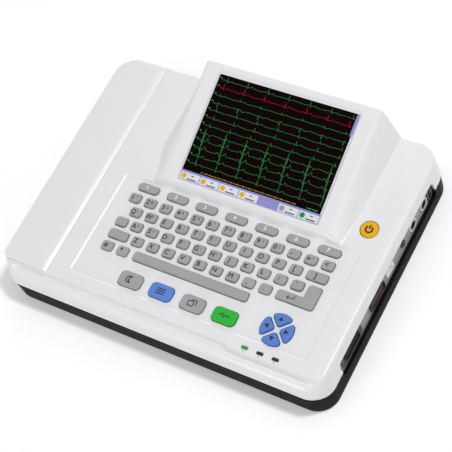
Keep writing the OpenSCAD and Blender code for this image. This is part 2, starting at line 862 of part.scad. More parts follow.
// Outline of the keypad board and its mat: the panel, with a tab behind it that reaches the power button
module keypad_outline(inset) {
    x0 = panel_cx - panel_w / 2 + inset;
    x1 = panel_x1 - inset;
    tab_r = power_r + 4;
    y0 = panel_y0 + inset;
    y1 = panel_y1 - inset;
    y2 = power_y + tab_r - inset;
    tab_x0 = power_x - tab_r + inset;
    tab_x1 = power_x + tab_r - inset;
    polygon([[x0, y0], [x1, y0], [x1, y1], [tab_x1, y1], [tab_x1, y2], [tab_x0, y2], [tab_x0, y1],
        [x0, y1]]);
}

module keypad_board() {
    color("#2f6b3c") difference() {
        translate([0, 0, keypad_z]) linear_extrude(board_t) keypad_outline(keypad_margin);
        for (p = key_post_points) rod_z(p, keypad_z - lap, screw_r + screw_clear, board_t + 2 * lap);
    }
}

module key_mat() {
    color("#d8d8d4") difference() {
        translate([0, 0, mat_z]) linear_extrude(mat_t) keypad_outline(keypad_margin + 1);
        for (p = key_post_points) rod_z(p, mat_z - lap, key_post_r + run_gap, mat_t + 2 * lap);
    }
}

module power_button() {
    color("#e8b52d") cap(power_rise) {
        power_outline(0);
        power_outline(flange_w);
    }
}

module function_keys() {
    color("#a0a2a6") caps(function_list, fkey_d / 2);
}

module digit_keys() {
    color("#9a9ca0") caps(digit_list, key_r);
}

module upper_letter_keys() {
    color("#9a9ca0") caps(upper_list, key_r);
}

module middle_letter_keys() {
    color("#9a9ca0") caps(middle_list, key_r);
}

module lower_letter_keys() {
    color("#9a9ca0") caps(lower_list, key_r);
}

module small_keys() {
    color("#9a9ca0") caps(small_list, key_r);
}

module space_bar() {
    color("#9a9ca0") caps(space_list, key_r);
}

module enter_key() {
    color("#9a9ca0") cap() {
        enter_outline(0);
        enter_outline(flange_w);
    }
}

module big_key(i, tint) {
    color(tint) caps([big_list[i]], big_r);
}

module sleep_key() {
    big_key(0, "#a4a6aa");
}

module mode_key() {
    big_key(1, "#4f7fd0");
}

module copy_key() {
    big_key(2, "#a4a6aa");
}

module start_key() {
    big_key(3, "#2fae4a");
}

module pad_key(a) {
    color("#5f93dc") cap() {
        pad_outline(a, 0);
        pad_outline(a, flange_w);
    }
}

module pad_up() {
    pad_key(90);
}

module pad_left() {
    pad_key(180);
}

module pad_right() {
    pad_key(0);
}

module pad_down() {
    pad_key(270);
}

module power_lens() {
    color("#35b24a") lens(-1, 0, under_z - 3, wall + 3.5);
}

module status_lenses() {
    color("#202020") for (i = [0, 1]) lens(i, 0, under_z - 3, wall + 3.5);
}

// End plate of the printer frame from y, with the bearings of the platen and the spindle
module end_plate(y) {
    difference() {
        along_y(y, frame_t) polygon([[frame_x0, floor_z], [frame_x1, floor_z], [frame_x1, frame_top - 3],
            [frame_x1 - 3, frame_top], [frame_x0 + 6, frame_top], [frame_x0, frame_top - 6]]);
        rod_y(platen_x, platen_z, bush_r + fit / 2, y - lap, frame_t + 2 * lap);
        rod_y(roll_x, roll_z, stub_r + run_gap / 2, y - lap, frame_t + 2 * lap);
    }
}

module printer_frame() {
    color("#b0b4b8") in_bay() difference() {
        union() {
            end_plate(-end_y - frame_t);
            end_plate(end_y);
            translate([frame_x0, -end_y - lap, floor_z])
                cube([frame_x1 - frame_x0, 2 * end_y + 2 * lap, frame_t]);
            translate([frame_x1 - frame_t, -end_y - lap, floor_z])
                cube([frame_t, 2 * end_y + 2 * lap, frame_top - 3 - floor_z]);
            translate([frame_x0 + 6, end_y, floor_z])
                cube([frame_x1 - frame_x0 - 6, plate_y - end_y + frame_t, frame_t]);
            translate([pinion_c.x - motor_r, plate_y, floor_z])
                cube([frame_x1 - pinion_c.x + motor_r, frame_t, pinion_c.y + motor_r - floor_z]);
            rod_y(idler_c.x, idler_c.y, idler_pin_r, end_y + lap, gear_y + gear_w - end_y - lap + 1);
        }
        rod_y(pinion_c.x, pinion_c.y, pitch_r(pinion_teeth) + 1, plate_y - lap, frame_t + 2 * lap);
    }
}

module paper_roll() {
    color("#f6f3ea") in_bay() difference() {
        rod_y(roll_x, roll_z, roll_r, -paper_w / 2, paper_w);
        rod_y(roll_x, roll_z, core_r, -paper_w / 2 - lap, paper_w + 2 * lap);
    }
}

module paper_spindle() {
    color("#4a4d52") in_bay() {
        rod_y(roll_x, roll_z, core_r - run_gap, -end_y + run_gap, 2 * end_y - 2 * run_gap);
        rod_y(roll_x, roll_z, stub_r, -end_y - frame_t, 2 * end_y + 2 * frame_t);
    }
}

module platen_roller() {
    color("#26282b") in_bay() difference() {
        rod_y(platen_x, platen_z, platen_r, -paper_w / 2, paper_w);
        rod_y(platen_x, platen_z, shaft_r + shaft_gap, -paper_w / 2 - lap, paper_w + 2 * lap);
    }
}

module platen_shaft() {
    shaft_y = -end_y - frame_t - 1;
    color("#b8bcc0") in_bay() rod_y(platen_x, platen_z, shaft_r, shaft_y, gear_y + gear_w - shaft_y);
}

module platen_bushes() {
    color("#a8894a") in_bay() for (y = [-end_y - frame_t, end_y]) difference() {
        union() {
            rod_y(platen_x, platen_z, bush_r, y, frame_t);
            rod_y(platen_x, platen_z, bush_r + 1, y > 0 ? y - 1 : y + frame_t, 1);
        }
        rod_y(platen_x, platen_z, shaft_r + shaft_gap, y - 2 * lap, frame_t + 4 * lap);
    }
}

// Toothed wheel; its teeth stop just short of the pitch circle, so that wheels in mesh stay apart
module gear(c, teeth, bore) {
    outer = pitch_r(teeth) - shaft_gap * 2;
    root = outer - 1.1 * gear_m;
    along_y(gear_y, gear_w) translate(c) difference() {
        polygon([for (i = [0:teeth - 1]) for (k = [[root, 0], [root, 0.45], [outer, 0.55], [outer, 0.9]])
            k[0] * [cos((i + k[1]) * 360 / teeth), sin((i + k[1]) * 360 / teeth)]]);
        circle(r = bore);
    }
}

module platen_gear() {
    color("#e6e2d2") in_bay() gear([platen_x, platen_z], platen_teeth, shaft_r + shaft_gap);
}

module idler_gear() {
    color("#e6e2d2") in_bay() gear(idler_c, idler_teeth, idler_pin_r + shaft_gap);
}

module motor_pinion() {
    color("#c9a64a") in_bay() {
        gear(pinion_c, pinion_teeth, motor_shaft_r / 2);
        rod_y(pinion_c.x, pinion_c.y, motor_shaft_r, gear_y, plate_y + frame_t + motor_in - gear_y);
    }
}

module drive_motor() {
    color("#6d7277") in_bay() difference() {
        rod_y(pinion_c.x, pinion_c.y, motor_r, plate_y + frame_t, motor_l);
        rod_y(pinion_c.x, pinion_c.y, motor_shaft_r + shaft_gap, plate_y + frame_t - lap,
            2 * lap + motor_in);
    }
}

module print_head() {
    color("#c7b59a") in_bay() {
        head_z = platen_z + platen_r + run_gap;
        translate([platen_x - strip_w / 3, -paper_w / 2, head_z])
            cube([strip_w, paper_w, lid_z - head_z - sink_t + lap]);
        translate([platen_x - strip_w / 3 - lap, -paper_w / 2, lid_z - sink_t])
            cube([sink_w, paper_w, sink_t]);
    }
}

module main_board() {
    color("#2f6b3c") {
        difference() {
            translate([main_c.x, main_c.y, main_z]) plate(main_w, main_d, 2, board_t, 3);
            for (p = main_points) rod_z(p, main_z - lap, screw_r + screw_clear, board_t + 2 * lap);
        }
        translate([main_c.x - chip.x / 2, main_c.y + main_d / 8, main_z + lap / 2]) cube(chip);
        translate([main_x0 + main_w / 8, main_c.y - main_d / 4, main_z + lap / 2]) cube(chip_small);
        translate([main_c.x, main_y0 + main_d / 8, main_z + lap / 2]) cube(header);
    }
}

module power_supply() {
    color("#9aa0a6") translate([supply_c.x, supply_c.y, floor_z]) {
        plate(supply_w, supply_d, 2, supply_h - 6, 3);
        plate(supply_w - 16, supply_d - 12, 2, supply_h, 3);
    }
}

module speaker() {
    color("#2a2a2c") translate([speaker_c.x, speaker_c.y, floor_z]) {
        cylinder(r = speaker_r, h = 4);
        cylinder(r = speaker_r * 0.6, h = speaker_h);
    }
}

// Connector with a flange on the outer face of the side panel and a body behind it
module side_connector(y, size, r, depth) {
    side_plate(y, side_cz, size, r, side_x, flange_d);
    side_plate(y, side_cz, size - body_in, 1, side_x - depth, depth + lap / 2);
}

module side_panel() {
    cut_x = side_x - plate_t - lap;
    color("#7d8085") difference() {
        side_plate(side_cy, (side_top + floor_z) / 2, [side_l + 2 * plate_over, side_top - floor_z],
            side_r, side_x - plate_t, plate_t);
        for (c = [[patient_y, patient_size], [serial_y, serial_size], [data_y, data_size],
            [card_y, card_size]]) {
            side_plate(c[0], side_cz, c[1] - body_in + [2 * fit, 2 * fit], 1, cut_x, plate_t + 2 * lap);
        }
        for (y = socket_ys) rod_x(y, side_cz, socket_r - 2 + fit, cut_x, plate_t + 2 * lap);
        rod_x(jack_y, side_cz, jack_r - 1 + fit, cut_x, plate_t + 2 * lap);
    }
}

module patient_connector() {
    color("#1e1f22") difference() {
        union() {
            side_connector(patient_y, patient_size, 2, plug_l);
            side_plate(patient_y, side_cz, patient_hole + [shell, shell], 2, side_x, shell_l);
        }
        side_plate(patient_y, side_cz, patient_hole, 1.5, side_x - hole_l, hole_l + shell_l + lap);
    }
}

module serial_connector() {
    color("#8a6a3c") difference() {
        union() {
            side_connector(serial_y, serial_size, 2, plug_l);
            side_plate(serial_y, side_cz, serial_hole + [shell, shell], 2, side_x, shell_l);
        }
        side_plate(serial_y, side_cz, serial_hole, 1.5, side_x - hole_l, hole_l + shell_l + lap);
    }
}

module data_port() {
    color("#f0f0f0") difference() {
        side_connector(data_y, data_size, 1.5, plug_l);
        side_plate(data_y, side_cz, data_hole, 0.5, side_x - data_l, data_l + flange_d + lap);
    }
}

module jack_socket() {
    color("#26272a") difference() {
        union() {
            rod_x(jack_y, side_cz, jack_r, side_x, flange_d);
            rod_x(jack_y, side_cz, jack_r - 1, side_x - plug_l, plug_l + lap / 2);
        }
        rod_x(jack_y, side_cz, jack_bore, side_x - jack_l, jack_l + flange_d + lap);
    }
}

module round_sockets() {
    color("#f0f0f0") for (y = socket_ys) difference() {
        union() {
            rod_x(y, side_cz, socket_r, side_x, flange_d);
            rod_x(y, side_cz, socket_r - 2, side_x - plug_l, plug_l + lap / 2);
        }
        rod_x(y, side_cz, socket_bore, side_x - socket_l, socket_l + flange_d + lap);
    }
}

module card_slot() {
    color("#151517") difference() {
        side_connector(card_y, card_size, 1, card_l);
        side_plate(card_y, side_cz, card_hole, 0.5, side_x - hole_l, hole_l + flange_d + lap);
    }
}

module rear_panel() {
    cut_y = rear_y - plate_t - lap;
    cut_l = plate_t + 2 * lap;
    color("#7d8085") difference() {
        back_plate(rear_cx, (rear_top + floor_z) / 2, [rear_l + 2 * plate_over, rear_top - floor_z],
            side_r, rear_y - plate_t, plate_t);
        back_plate(inlet_x, rear_cz, inlet_size - inlet_in + [2 * fit, 2 * fit], 2, cut_y, cut_l);
        back_plate(switch_x, rear_cz, switch_size - switch_in + [2 * fit, 2 * fit], 1, cut_y, cut_l);
        rod_y(stud_x, rear_cz, stud_r + fit, cut_y, cut_l);
    }
}

module mains_inlet() {
    color("#1b1b1d") difference() {
        union() {
            back_plate(inlet_x, rear_cz, inlet_size, 3, rear_y, inlet_t);
            back_plate(inlet_x, rear_cz, inlet_size - inlet_in, 2, rear_y - inlet_l, inlet_l + lap / 2);
        }
        difference() {
            back_plate(inlet_x, rear_cz, inlet_hole, 3, rear_y - inlet_deep, inlet_deep + inlet_t + lap);
            for (i = [-1:1]) {
                blade_z = rear_cz + (i == 0 ? -blade.x : blade.x);
                back_plate(inlet_x + blade_pitch * i, blade_z, blade, 0.4,
                    rear_y - inlet_deep - lap, blade_l);
            }
        }
    }
}

module switch_frame() {
    color("#1b1b1d") difference() {
        union() {
            back_plate(switch_x, rear_cz, switch_size, 2, rear_y, 1.5);
            back_plate(switch_x, rear_cz, switch_size - switch_in, 1,
                rear_y - switch_l, switch_l + lap / 2);
        }
        back_plate(switch_x, rear_cz, [rocker_w + 2 * run_gap, rocker_l + rocker_room], 1,
            rear_y - switch_deep, switch_deep + 3 * lap);
        rod_x(rear_y - rocker_in, rear_cz, rocker_pin + shaft_gap,
            switch_x - rocker_w / 2 - 2, rocker_w + 4);
    }
}

module switch_rocker() {
    half = rocker_l / 2;
    color("#2a2b2e") translate([0, rear_y - rocker_in, rear_cz]) rotate([rocker_tilt, 0, 0]) {
        along_x(switch_x - rocker_w / 2, rocker_w) polygon([[3, -half], [1.2, 0], [3, half],
            [0, half], [-6, half * 0.5], [-6, -half * 0.5], [0, -half]]);
        rod_x(0, 0, rocker_pin, switch_x - rocker_w / 2 - 1.6, rocker_w + 3.2);
    }
}

module earth_stud() {
    color("#c9cdd2") {
        rod_y(stud_x, rear_cz, stud_r, rear_y - 10, 14);
        rod_y(stud_x, rear_cz, stud_r + 2.5, rear_y, 1.2);
        rod_y(stud_x, rear_cz, stud_r + 2, rear_y - plate_t - 2.5, 2.5);
    }
}

base_tray();
top_cover();
paper_lid();
lid_hinge_pins();
battery_door();
door_screws();
battery_pack();
rubber_feet();
cover_screws();
board_screws();
touch_panel();
lcd_module();
lcd_bracket();
keypad_board();
key_mat();
power_button();
function_keys();
digit_keys();
upper_letter_keys();
middle_letter_keys();
lower_letter_keys();
small_keys();
space_bar();
enter_key();
sleep_key();
mode_key();
copy_key();
start_key();
pad_up();
pad_left();
pad_right();
pad_down();
power_lens();
status_lenses();
printer_frame();
paper_roll();
paper_spindle();
platen_roller();
platen_shaft();
platen_bushes();
platen_gear();
idler_gear();
drive_motor();
motor_pinion();
print_head();
main_board();
power_supply();
speaker();
side_panel();
patient_connector();
serial_connector();
data_port();
jack_socket();
round_sockets();
card_slot();
rear_panel();
mains_inlet();
switch_frame();
switch_rocker();
earth_stud();
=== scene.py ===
import json
import math

import bpy
import numpy as np
from mathutils import Matrix, Vector


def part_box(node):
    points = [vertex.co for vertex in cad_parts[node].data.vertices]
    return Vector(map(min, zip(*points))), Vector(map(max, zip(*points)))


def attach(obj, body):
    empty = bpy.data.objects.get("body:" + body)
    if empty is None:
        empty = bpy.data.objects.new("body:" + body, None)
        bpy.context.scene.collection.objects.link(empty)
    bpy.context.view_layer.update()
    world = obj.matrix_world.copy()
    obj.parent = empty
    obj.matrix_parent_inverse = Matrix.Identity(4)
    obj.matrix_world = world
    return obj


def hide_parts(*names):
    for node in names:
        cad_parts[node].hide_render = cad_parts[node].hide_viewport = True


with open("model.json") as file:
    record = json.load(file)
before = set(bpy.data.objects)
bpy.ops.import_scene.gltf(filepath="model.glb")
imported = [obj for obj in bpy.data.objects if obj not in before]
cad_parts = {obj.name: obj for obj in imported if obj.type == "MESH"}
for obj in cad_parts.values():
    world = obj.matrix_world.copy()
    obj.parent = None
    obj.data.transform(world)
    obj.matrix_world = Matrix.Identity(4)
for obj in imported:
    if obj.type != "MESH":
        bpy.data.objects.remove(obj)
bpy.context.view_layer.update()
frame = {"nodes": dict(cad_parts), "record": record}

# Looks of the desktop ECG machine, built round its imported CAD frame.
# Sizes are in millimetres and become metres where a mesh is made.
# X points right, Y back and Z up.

MM = 0.001

# Camera of the photograph: focal length in its pixels, place, aim point and roll
PHOTO_PX = 452
FOCAL_PX = 1400
CAMERA_AT = Vector((641.8, -480.4, 1236.8))
CAMERA_AIM = Vector((5.886, 0.428, 25.636))
CAMERA_ROLL = -28.54

# Cover: deck, walls and corners. The deck's front edge lies further out at the right of a step, given by its
# start and run. The lip below it has a gutter (width, depth) and rolls under, from a height and by a run.
DECK_Z = 58
PART_Z = 28
WALL = 2.5
HALF_W = 194
HALF_D = 142.5
CORNER_R = 24
DECK_FRONT = (127.4, 129.5)
FRONT_STEP = (78, 16)
EDGE_R = 0.5
LIP_TOP = 50
LIP_RUN = 9
LIP_ROUND = 0.85
LIP_ROLL = (33, 2)
GUTTER = (1.6, 0.6)

# Other sides of the cover: lean of the wall, radius of its edge, strip beside the edge and the strip's fall
SIDES = {"right": (3, 4, 5, 1.1), "back": (1, 3.5, 0.3, 0), "left": (3, 2, 0.3, 0)}

# Screen housing: bezel plane, edges, flanks, and the window's bevel at left, right, below and above
TILT = math.radians(16)
SCREEN_X = 32.5
SCREEN_Y = 16.8
SCREEN_Z = 67
SCREEN_W = 164
SCREEN_L = 118.43
BEZEL_X = (-68.5, 134.5)
HOUSE_FRONT = (7.9, 11.99)
FLANK_FRONT = 9
FLANK_LEFT = 20.5
FLANK_RIGHT = 13
FLANK_FADE = 50
HOUSE_SOFT = {"left": 6, "right": 9, "front": 3, "foot": 1.2}
SCREEN_BEVEL = (1.6, 2.8, 1.6, 4.2)
BEVEL_DROP = 2.2
WINDOW_LAP = 0.2
WINDOW_R = (1, 2.5)
DISPLAY_DROP = 2.58

# Stretches of the cover that are finely divided: the housing's flanks and the foot of its front
FINE_LEFT = (-92, -58)
FINE_RIGHT = (122, 152)
FINE_FRONT = (4, 24)

# Base: floor, wall, screw bosses with their wells and bores, seats of the feet, battery door, speaker slots
BASE_FLOOR = (4, 6.5)  # underside and top
BASE_WALL = 4
BASE_FILLET = 1.2
BOSS_R = 4.5
WELL_R = 3.2
WELL_DEEP = 8
BORE_R = 1.7
SEAT_R = 9.1
SEAT_DEEP = 1
DOOR_TAB = (14, 10, 1.5)  # width, length, thickness
DOOR_GAP = 0.6
SPEAKER_SLOT = (2.6, 26)
SPEAKER_PITCH = 6

# Keyboard panel: its recess in the deck
PANEL_X = (-111.5, 167)
PANEL_Y = (-115.5, 7.3)
PANEL_R = 4
PANEL_DROP = 0.9
PANEL_BEVEL = 3

# Keys: flange below the deck, clearance, corner radii, form of the caps, and the dark lips of the mat round
# them, which are painted shade in the gaps
FLANGE_W = 0.8
FLANGE_T = 1.6
KEY_GAP = 0.65
KEY_R = 3
FKEY_R = 4.2
BIG_R = 5
KEY_EDGE = 0.7
KEY_CROWN = 0.25
CROWN_L = 1.9
KEY_DRAFT = 0.4
KEY_TRIM = 0.4
CAP_DEPTHS = (0, 0.06, 0.18, 0.36, 0.7, 1.1, 1.5, 1.8, 1.92, 2.04)
SHADE_LIP_DROP = 1.6
SHADE_LIP_T = 0.8
SHADE_LIP_GAP = 0.12
SHADE_LIP_LAP = 0.2
ENTER_STEM = 15
PAD_APEX = 2.4
PAD_CORNER_R = 2.5
PAD_END_R = 3

# Lid and its hinge
HINGE_X = -136
HINGE_YS = (-70, 70)
BEAD_R = 2
PIN_R = 1.05
PIN_L = 34
RUN_GAP = 0.12
RAMP_AT = 12
RAMP_TILT = 26
RAMP_SOFT = 1.2

# Openings: paper bay, paper slot, and the two in the walls as middle, length, middle height and height
BAY_X = (-186, -141)
BAY_Y = 113
SLOT_Y = 107
SLOT_Z = 53
SIDE_OPENING = (4.25, 213.5, 29.5, 25.5)
REAR_OPENING = (-69, 122, 27, 30)
OPENING_R = 6
OPENING_DEEP = 14
OPENING_OUT = 6


# General geometry

def smooth(t):
    t = np.clip(t, 0, 1)
    return t * t * (3 - 2 * t)


def soft_min(a, b, k):
    return np.minimum(a, b) - np.maximum(k - np.abs(a - b), 0) ** 2 / (4 * k)


def soft_max(a, b, k):
    return -soft_min(-a, -b, k)


def arc(cx, cy, r, start, end, n):
    turns = [math.radians(start + (end - start) * i / n) for i in range(n + 1)]
    return [(cx + r * math.cos(t), cy + r * math.sin(t)) for t in turns]


def round_rect(w, d, r, n=8, cx=0, cy=0):
    """Outline of a rectangle with round corners, anticlockwise from its right side."""
    r = min(r, w / 2 - 0.01, d / 2 - 0.01)
    x, y = w / 2 - r, d / 2 - r
    corners = ((x, y, 0), (-x, y, 90), (-x, -y, 180), (x, -y, 270))
    return [p for px, py, a in corners for p in arc(cx + px, cy + py, r, a, a + 90, n)]


def inset(outline, distance):
    """Outline drawn in by a distance along the bisectors of its corners."""
    p = np.array(outline, float)
    ahead = np.roll(p, -1, 0) - p
    ahead /= np.linalg.norm(ahead, axis=1)[:, None]
    normal = np.stack([-ahead[:, 1], ahead[:, 0]], 1)
    mean = normal + np.roll(normal, 1, 0)
    mean /= np.maximum((mean * normal).sum(1), 0.3)[:, None]
    return [tuple(q) for q in p + mean * distance]


def loft(rings, closed=True):
    """Vertices and faces of a skin over equal rings of points, with flat ends."""
    n = len(rings[0])
    verts = [tuple(p) for ring in rings for p in ring]
    faces = []
    for j in range(len(rings) - 1):
        for i in range(n):
            a, b = j * n + i, j * n + (i + 1) % n
            faces.append((a, b, b + n, a + n))
    if closed:
        faces.append(tuple(reversed(range(n))))
        faces.append(tuple(range(len(verts) - n, len(verts))))
    return verts, faces


def level(outline, z):
    return [(x, y, z) for x, y in outline]


def prism(outline, z0, z1):
    return loft([level(outline, z0), level(outline, z1)])


def moved(shape, move):
    verts, faces = shape
    return [move(v) for v in verts], faces


def to_right_side(v):
    """Outline in Y and Z with its depth along X."""
    return v[2], v[0], v[1]


def to_back(v):
    """Outline in X and Z with its depth along Y."""
    return -v[0], v[2], v[1]


def to_screen(v):
    """Frame of the bezel: origin at the middle of the screen's lower edge, Y up the slope, Z outwards."""
    x, y, z = v
    return (
        SCREEN_X + x,
        SCREEN_Y + y * math.cos(TILT) - z * math.sin(TILT),
        SCREEN_Z + y * math.sin(TILT) + z * math.cos(TILT),
    )


def joined(shapes):
    verts, faces = [], []
    for v, f in shapes:
        start = len(verts)
        verts += list(v)
        faces += [tuple(i + start for i in face) for face in f]
    return verts, faces


def stroke(points, width):
    """Flat ribbon along a path in a plane, at the height of its points."""
    p = np.array(points, float)
    along = np.gradient(p, axis=0)
    side = np.stack([-along[:, 1], along[:, 0], np.zeros(len(p))], 1)
    side /= np.linalg.norm(side, axis=1)[:, None]
    half = side * width / 2
    verts = [tuple(v) for pair in zip(p - half, p + half) for v in pair]
    faces = [(2 * i, 2 * i + 2, 2 * i + 3, 2 * i + 1) for i in range(len(p) - 1)]
    return verts, faces


def new_object(name, shape, sharp=35):
    verts, faces = shape
    mesh = bpy.data.meshes.new(name)
    mesh.from_pydata([tuple(c * MM for c in v) for v in verts], [], faces)
    mesh.validate()
    finish_mesh(mesh, sharp)
    obj = bpy.data.objects.new(name, mesh)
    bpy.context.scene.collection.objects.link(obj)
    return obj


def finish_mesh(mesh, sharp):
    mesh.polygons.foreach_set("use_smooth", [True] * len(mesh.polygons))
    mesh.set_sharp_from_angle(angle=math.radians(sharp))
    mesh.update()


def carve(obj, shape, operation="DIFFERENCE", sharp=35):
    """Cuts a closed shape out of an object, or joins it on."""
    tool = new_object("tool", shape)
    step = obj.modifiers.new("carve", "BOOLEAN")
    step.operation = operation
    step.solver = "MANIFOLD"
    step.object = tool
    seen = obj.evaluated_get(bpy.context.evaluated_depsgraph_get())
    mesh = bpy.data.meshes.new_from_object(seen)
    obj.modifiers.clear()
    obj.data = mesh
    bpy.data.objects.remove(tool)
    finish_mesh(mesh, sharp)
    return obj


def node_box(node):
    """Low and high corner of a CAD node's box, in millimetres."""
    return [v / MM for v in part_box(node)]


def piece(obj, body, slot, *nodes, material=None):
    """Gives an object its body and the slot's material or its own, and hides the CAD nodes it stands for."""
    obj.data.materials.clear()
    obj.data.materials.append(material or MATERIAL[slot])
    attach(obj, body)
    if nodes:
        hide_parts(*nodes)
    return obj


# Materials

def srgb(r, g, b):
    """Linear colour of an 8-bit screen colour."""
    def one(c):
        c /= 255
        return c / 12.92 if c <= 0.04045 else ((c + 0.055) / 1.055) ** 2.4
    return one(r), one(g), one(b), 1


def shade(color, k):
    return tuple(min(c * k, 1) for c in color[:3]) + (1,)


class Surface:
    """A Principled material with noise in its colour, its gloss and its relief."""

    def __init__(self, name):
        self.material = bpy.data.materials.new(name)
        self.material.use_nodes = True
        self.nodes = self.material.node_tree.nodes
        self.links = self.material.node_tree.links
        self.shader = self.nodes["Principled BSDF"]
        self.place = self.nodes.new("ShaderNodeTexCoord").outputs["Object"]

    def set(self, node=None, **values):
        """Sets inputs of a node, or of the shader; an underscore stands for a space."""
        for key, value in values.items():
            (node or self.shader).inputs[key.replace("_", " ")].default_value = value
        return self

    def add(self, kind, **values):
        node = self.nodes.new("ShaderNode" + kind)
        self.set(node, **values)
        return node

    def stretched(self, scale):
        node = self.add("Mapping", Scale=scale)
        self.links.new(self.place, node.inputs["Vector"])
        return node.outputs["Vector"]

    def noise(self, scale, detail=3, stretch=None):
        node = self.add("TexNoise", Scale=scale, Detail=detail)
        self.links.new(self.stretched(stretch) if stretch else self.place, node.inputs["Vector"])
        return node.outputs["Fac"]

    def ramp(self, fac, low, high, start=0.3, end=0.7):
        node = self.add("ValToRGB")
        for stop, color, at in zip(node.color_ramp.elements, (low, high), (start, end)):
            stop.color = color
            stop.position = at
        self.links.new(fac, node.inputs["Fac"])
        return node.outputs["Color"]

    def color(self, fac, low, high):
        self.links.new(self.ramp(fac, low, high), self.shader.inputs["Base Color"])
        return self

    def gloss(self, fac, low, high):
        span = self.add("MapRange", From_Min=0.3, From_Max=0.7, To_Min=low, To_Max=high)
        self.links.new(fac, span.inputs["Value"])
        self.links.new(span.outputs["Result"], self.shader.inputs["Roughness"])
        return self

    def relief(self, fac, strength, depth):
        bump = self.add("Bump", Strength=strength, Distance=depth * MM)
        self.links.new(fac, bump.inputs["Height"])
        self.links.new(bump.outputs["Normal"], self.shader.inputs["Normal"])
        return self


def moulded(name, color, rough, mottle, grain, depth):
    """Moulded plastic: a slight drift of tone, uneven gloss and a fine spark-eroded grain."""
    s = Surface(name)
    s.color(s.noise(22, 4), shade(color, 1 - mottle), shade(color, 1 + mottle))
    s.gloss(s.noise(70, 5), *rough)
    return s.relief(s.noise(grain, 2), 0.25, depth)


def metal(name, color, rough, lines=(40, 1400, 1400)):
    """Drawn or brushed metal with fine lines along one axis."""
    s = Surface(name)
    s.color(s.noise(1, 4, lines), shade(color, 0.86), shade(color, 1.06))
    s.gloss(s.noise(60, 4), *rough)
    s.relief(s.noise(1, 3, lines), 0.2, 0.02)
    return s.set(Metallic=1.0)


def board_material(name):
    """Circuit board: green lacquer with copper tracks that show through it."""
    s = Surface(name)
    tracks = s.add("TexBrick", Scale=160, Mortar_Size=0.06)
    s.set(tracks, Color1=srgb(38, 98, 52), Color2=srgb(30, 84, 44), Mortar=srgb(88, 132, 70))
    s.links.new(s.place, tracks.inputs["Vector"])
    s.links.new(tracks.outputs["Color"], s.shader.inputs["Base Color"])
    s.relief(tracks.outputs["Fac"], 0.4, 0.05)
    return s.gloss(s.noise(90, 3), 0.28, 0.4)


def paper_material(name):
    """Chart paper: fine pale red grid of 5 mm squares on warm white fibre."""
    s = Surface(name)
    lines = s.add("TexBrick", Scale=200, Brick_Width=1, Row_Height=1, Mortar_Size=0.05)
    lines.offset = 0
    s.set(lines, Color1=srgb(246, 242, 232), Color2=srgb(243, 239, 230), Mortar=srgb(236, 176, 170))
    s.links.new(s.place, lines.inputs["Vector"])
    s.links.new(lines.outputs["Color"], s.shader.inputs["Base Color"])
    s.relief(s.noise(2500, 3), 0.3, 0.03)
    return s.gloss(s.noise(300, 3), 0.7, 0.85)


def glowing(name, color, strength):
    """Lit part of the display: its colour drifts a little, as under a diffuser."""
    s = Surface(name)
    tone = s.ramp(s.noise(180, 2), shade(color, 0.85), color, 0, 1)
    s.links.new(tone, s.shader.inputs["Emission Color"])
    return s.set(Base_Color=(0, 0, 0, 1), Emission_Strength=strength, Roughness=0.5,
                 Specular_IOR_Level=0.0)


# Plastics: name, screen colour, gloss, mottle, grain and its depth
PLASTICS = {
    "cover": ("cover_white", (232, 232, 234), (0.3, 0.32), 0.008, 1600, 0.01),
    "base": ("base_dark", (15, 10, 14), (0.5, 0.6), 0.08, 1200, 0.04),
    "key_grey": ("key_grey", (160, 160, 162), (0.42, 0.55), 0.03, 1500, 0.03),
    "key_blue": ("key_blue", (84, 126, 208), (0.38, 0.5), 0.03, 1500, 0.03),
    "pad_blue": ("pad_blue", (80, 122, 200), (0.38, 0.5), 0.03, 1500, 0.03),
    "key_green": ("key_green", (22, 172, 42), (0.38, 0.5), 0.03, 1500, 0.03),
    "key_yellow": ("key_yellow", (230, 172, 12), (0.42, 0.52), 0.03, 1500, 0.03),
    "lens_green": ("lens_green", (22, 150, 62), (0.16, 0.24), 0.05, 900, 0.01),
    "lens_dark": ("lens_dark", (16, 16, 17), (0.16, 0.24), 0.1, 900, 0.01),
    "screen_glass": ("screen_glass", (10, 8, 10), (0.3, 0.36), 0.1, 700, 0.004),
    "display": ("display_frame", (150, 154, 160), (0.3, 0.4), 0.05, 900, 0.02),
    # Dark silicone of the key mat; its lips round the keys are painted shade in the gaps
    "silicone": ("silicone", (38, 38, 40), (0.55, 0.7), 0.03, 600, 0.05),
    "rubber": ("rubber", (30, 30, 31), (0.65, 0.85), 0.12, 500, 0.08),
    "nylon": ("nylon", (226, 221, 204), (0.4, 0.55), 0.03, 900, 0.03),
    "panel": ("panel_grey", (150, 151, 153), (0.42, 0.55), 0.05, 1100, 0.05),
    "socket_black": ("socket_black", (26, 26, 28), (0.35, 0.5), 0.12, 1100, 0.04),
    "socket_white": ("socket_white", (226, 226, 224), (0.35, 0.5), 0.02, 1100, 0.03),
    "battery": ("battery_wrap", (60, 76, 104), (0.25, 0.4), 0.06, 700, 0.05),
    "ink": ("ink_dark", (12, 12, 14), (0.6, 0.7), 0.1, 800, 0.01),
    "ink_white": ("ink_white", (232, 232, 232), (0.5, 0.6), 0.02, 800, 0.01),
}
METALS = {
    "steel": ("steel", (190, 193, 197), (0.25, 0.42)),
    "brass": ("brass", (88, 74, 58), (0.35, 0.5)),
    "alu": ("aluminium", (200, 202, 205), (0.3, 0.48)),
    "motor": ("motor_can", (132, 136, 140), (0.3, 0.45)),
    "head": ("print_head", (186, 170, 146), (0.35, 0.5)),
}
SURFACES = {slot: moulded(name, srgb(*rgb), *look) for slot, (name, rgb, *look) in PLASTICS.items()}
SURFACES |= {slot: metal(name, srgb(*rgb), rough) for slot, (name, rgb, rough) in METALS.items()}
SURFACES |= {"board": board_material("board"), "paper": paper_material("chart_paper")}
